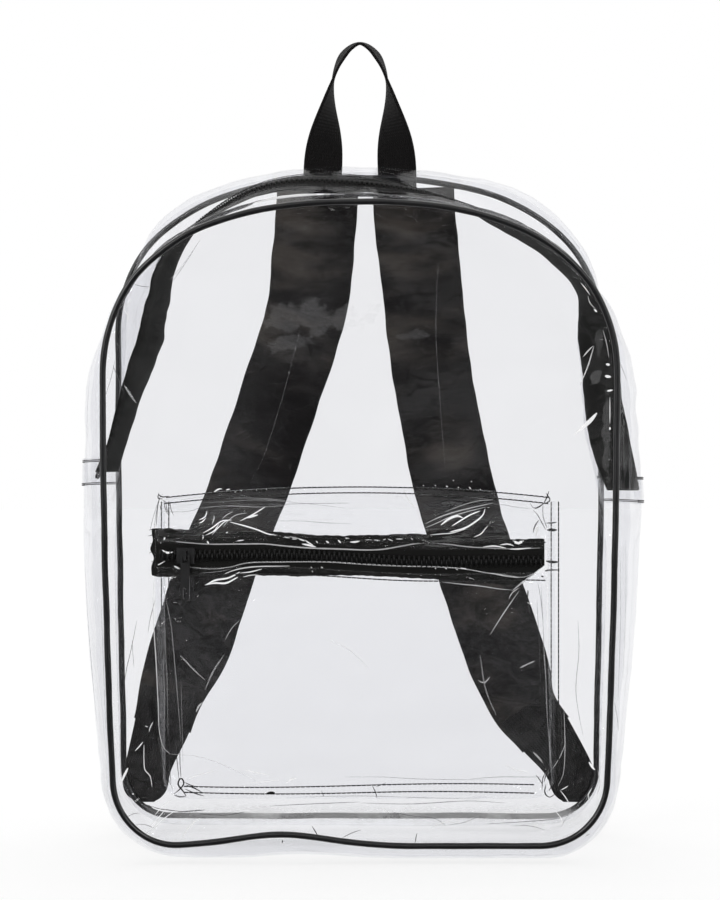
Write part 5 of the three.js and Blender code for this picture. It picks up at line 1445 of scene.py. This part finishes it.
for side, route in strapRoutes.items():
    seed = 51 if side == "left" else 61
    line, length = smoothLine([strapPoint(row) for row in route], strap["rows"])
    line[:, 0] += wander(line, 27, seed + 6) * 1.0 * np.sin(np.linspace(0, 1, strap["rows"]) * math.pi)
    share = np.linspace(0, 1, strap["rows"])
    narrowing = smoothstep(1 - strap["neckLength"] / length, 1, share)
    width = strap["width"] + (strap["neck"] - strap["width"]) * narrowing
    width = width + wander(line, 17, seed + 7) * 1.8 * smoothstep(0, 0.1, share)
    grid = strapGrid(line, np.array([0, 1.0, 0]) + 0 * line, width, strap["columns"])
    columns = np.linspace(-1, 1, strap["columns"])[None]
    push = wander(grid, (26, 26, 40), seed) * 1.6 + wander(grid, (12, 12, 18), seed + 1) * 0.6
    push = push - 0.5 * np.exp(-(columns / 0.06) ** 2)
    ends = smoothstep(0, 0.05, share)[:, None] * smoothstep(1, 0.93, share)[:, None]
    normals = normalsOf(grid)
    grid = grid + normals * (push * ends)[..., None]
    half = strap["thick"] / 2 * np.sqrt(np.maximum(0.02, 1 - np.abs(columns) ** 8)) + 0 * push
    rows, count = grid.shape[:2]
    normals = normalsOf(grid)
    ring = np.concatenate([grid + normals * half[..., None], (grid - normals * half[..., None])[:, ::-1]], 1)
    u = np.linspace(0, length, rows)[:, None] + np.zeros((1, 2 * count))
    v = np.concatenate([columns, columns[:, ::-1]], 1) * strap["width"] / 2 + np.zeros((rows, 1))
    piece = tubePiece(side + "_strap_cloth", ring, uv=np.stack([u, v], -1).reshape(-1, 2))
    flipIfInside(piece)
    dress(piece, strapLook, "strap_cloth", side + "_strap")

    under = strap["thick"] / 2 + body["gap"] * 2 + lower["thick"] / 2
    ahead = np.gradient(line, axis=0)
    ahead /= np.linalg.norm(ahead, axis=-1, keepdims=True)

    def onStrap(back):
        place = np.clip(1 - back / length, 0, 1) * (strap["rows"] - 1)
        i = int(min(round(place), strap["rows"] - 1))
        down = ahead[i]
        out = np.array([0, 1.0, 0]) - down * down[1]
        return line[i] - out / np.linalg.norm(out) * under

    anchor = anchors[side]
    seatY = backY + body["piping"] / 2 + body["gap"] * 2 + lower["thick"] / 2
    seatZ = body["seamLift"] + anchor[0] * body["backHeight"]
    seat = np.array([anchor[1] * body["backWidth"] / 2, seatY, seatZ])
    points = [onStrap(lower["overlap"]), onStrap(lower["overlap"] / 2), onStrap(0)]
    points += [seat + [0, 0, 14], seat - [0, 0, lower["drop"]]]
    line2, length2 = smoothLine(points, 90)
    share2 = np.linspace(0, 1, 90)
    width2 = lower["topWidth"] + (lower["width"] - lower["topWidth"]) * smoothstep(0.1, 0.75, share2)
    toEnd = np.clip((share2 - 1 + lower["round"] / length2) / (lower["round"] / length2), 0, 1)
    width2 = width2 * np.sqrt(np.maximum(0.12, 1 - 0.95 * toEnd ** 2.5))
    grid = strapGrid(line2, np.array([0, 1.0, 0]) + 0 * line2, width2, 16)
    grid = pushed(grid, wander(grid, (14, 14, 20), seed + 3) * 0.8 * smoothstep(0.25, 0.5, share2)[:, None])
    piece = sheetPiece(side + "_lower_webbing", grid, lower["thick"])
    dress(piece, webbingLook, "webbing", side + "_strap_webbing")
print("straps hung")

for name in ("main_zip_slider", "main_zip_pull", "pocket_zip_slider", "pocket_zip_pull"):
    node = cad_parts[name]
    node.data.materials.clear()
    node.data.materials.append(enamelLook)

# Floor and light

bpy.ops.mesh.primitive_circle_add(vertices=128, radius=9, fill_type="NGON", location=(0, 0, 0))
floor = bpy.context.object
floor.name = "floor"
finish = Finish("floor_white")
shade = finish.colours(finish.noise(finish.place(), 3), (0.50, 0.50, 0.50, 1), (0.52, 0.52, 0.52, 1))
shader = principled(finish, base=shade, rough=0.9, specular=0.0, glow=(1, 1, 1, 1), glowing=0.52)
floor.data.materials.append(finish.out(shader))
floor.visible_glossy = False

world = bpy.data.worlds.new("studio")
scene.world = world
studio = Finish("studio", world)
direction = studio.add("ShaderNodeTexCoord", output="Generated")
dirX, dirY, dirZ = [studio.split(direction, axis) for axis in range(3)]


def window(value, low, high, soft):
    rising = studio.smooth(value, low - soft, low + soft)
    return rising * studio.smooth(value, high - soft, high + soft, 1.0, 0.0)


backdrop = window(dirY, 0.12, 2, 0.12)
topLight = window(dirZ, 0.72, 2, 0.06)
leftLight = window(dirX, -0.93, -0.62, 0.05) * window(dirZ, -0.05, 0.6, 0.06) * window(dirY, -2, 0.1, 0.1)
rightLight = window(dirX, 0.7, 0.97, 0.05) * window(dirZ, -0.05, 0.55, 0.06) * window(dirY, -2, 0.1, 0.1)
keyLight = window(dirX, -0.3, 0.25, 0.05) * window(dirZ, 0.35, 0.6, 0.05) * window(dirY, -2, -0.5, 0.1)
room = studio.smooth(studio.noise(studio.vector("MULTIPLY", direction, (5, 1, 17)), 1.0), 0.42, 0.62)
room = room * window(dirY, -2, -0.85, 0.08)
strips = window(dirX, -0.62, -0.4, 0.02) * window(dirZ, 0.2, 0.62, 0.03) * window(dirY, -2, -0.2, 0.05)
strips = strips + window(dirX, 0.34, 0.5, 0.02) * window(dirZ, 0.25, 0.7, 0.03) * window(dirY, -2, -0.2, 0.05)
gleam = studio.add("ShaderNodeLightPath", output="Is Glossy Ray")
level = backdrop * 0.9 + topLight * 0.7 + leftLight * 1.8 + rightLight * 1.8 + keyLight * 1.6
level = level + room * 0.36 + 0.07 + gleam * strips * 8
seen = studio.add("ShaderNodeLightPath", output="Is Camera Ray")
level = seen + (1 - seen) * level
glow = studio.add("ShaderNodeBackground", {}, {"Color": (1, 1, 1, 1), "Strength": level})
studio.out(glow, "World")

scene.view_settings.view_transform = "Standard"
scene.view_settings.look = "None"
scene.view_settings.exposure = 0
scene.view_settings.gamma = 1
scene.cycles.transparent_max_bounces = 48
scene.cycles.max_bounces = 12
print("studio lit")
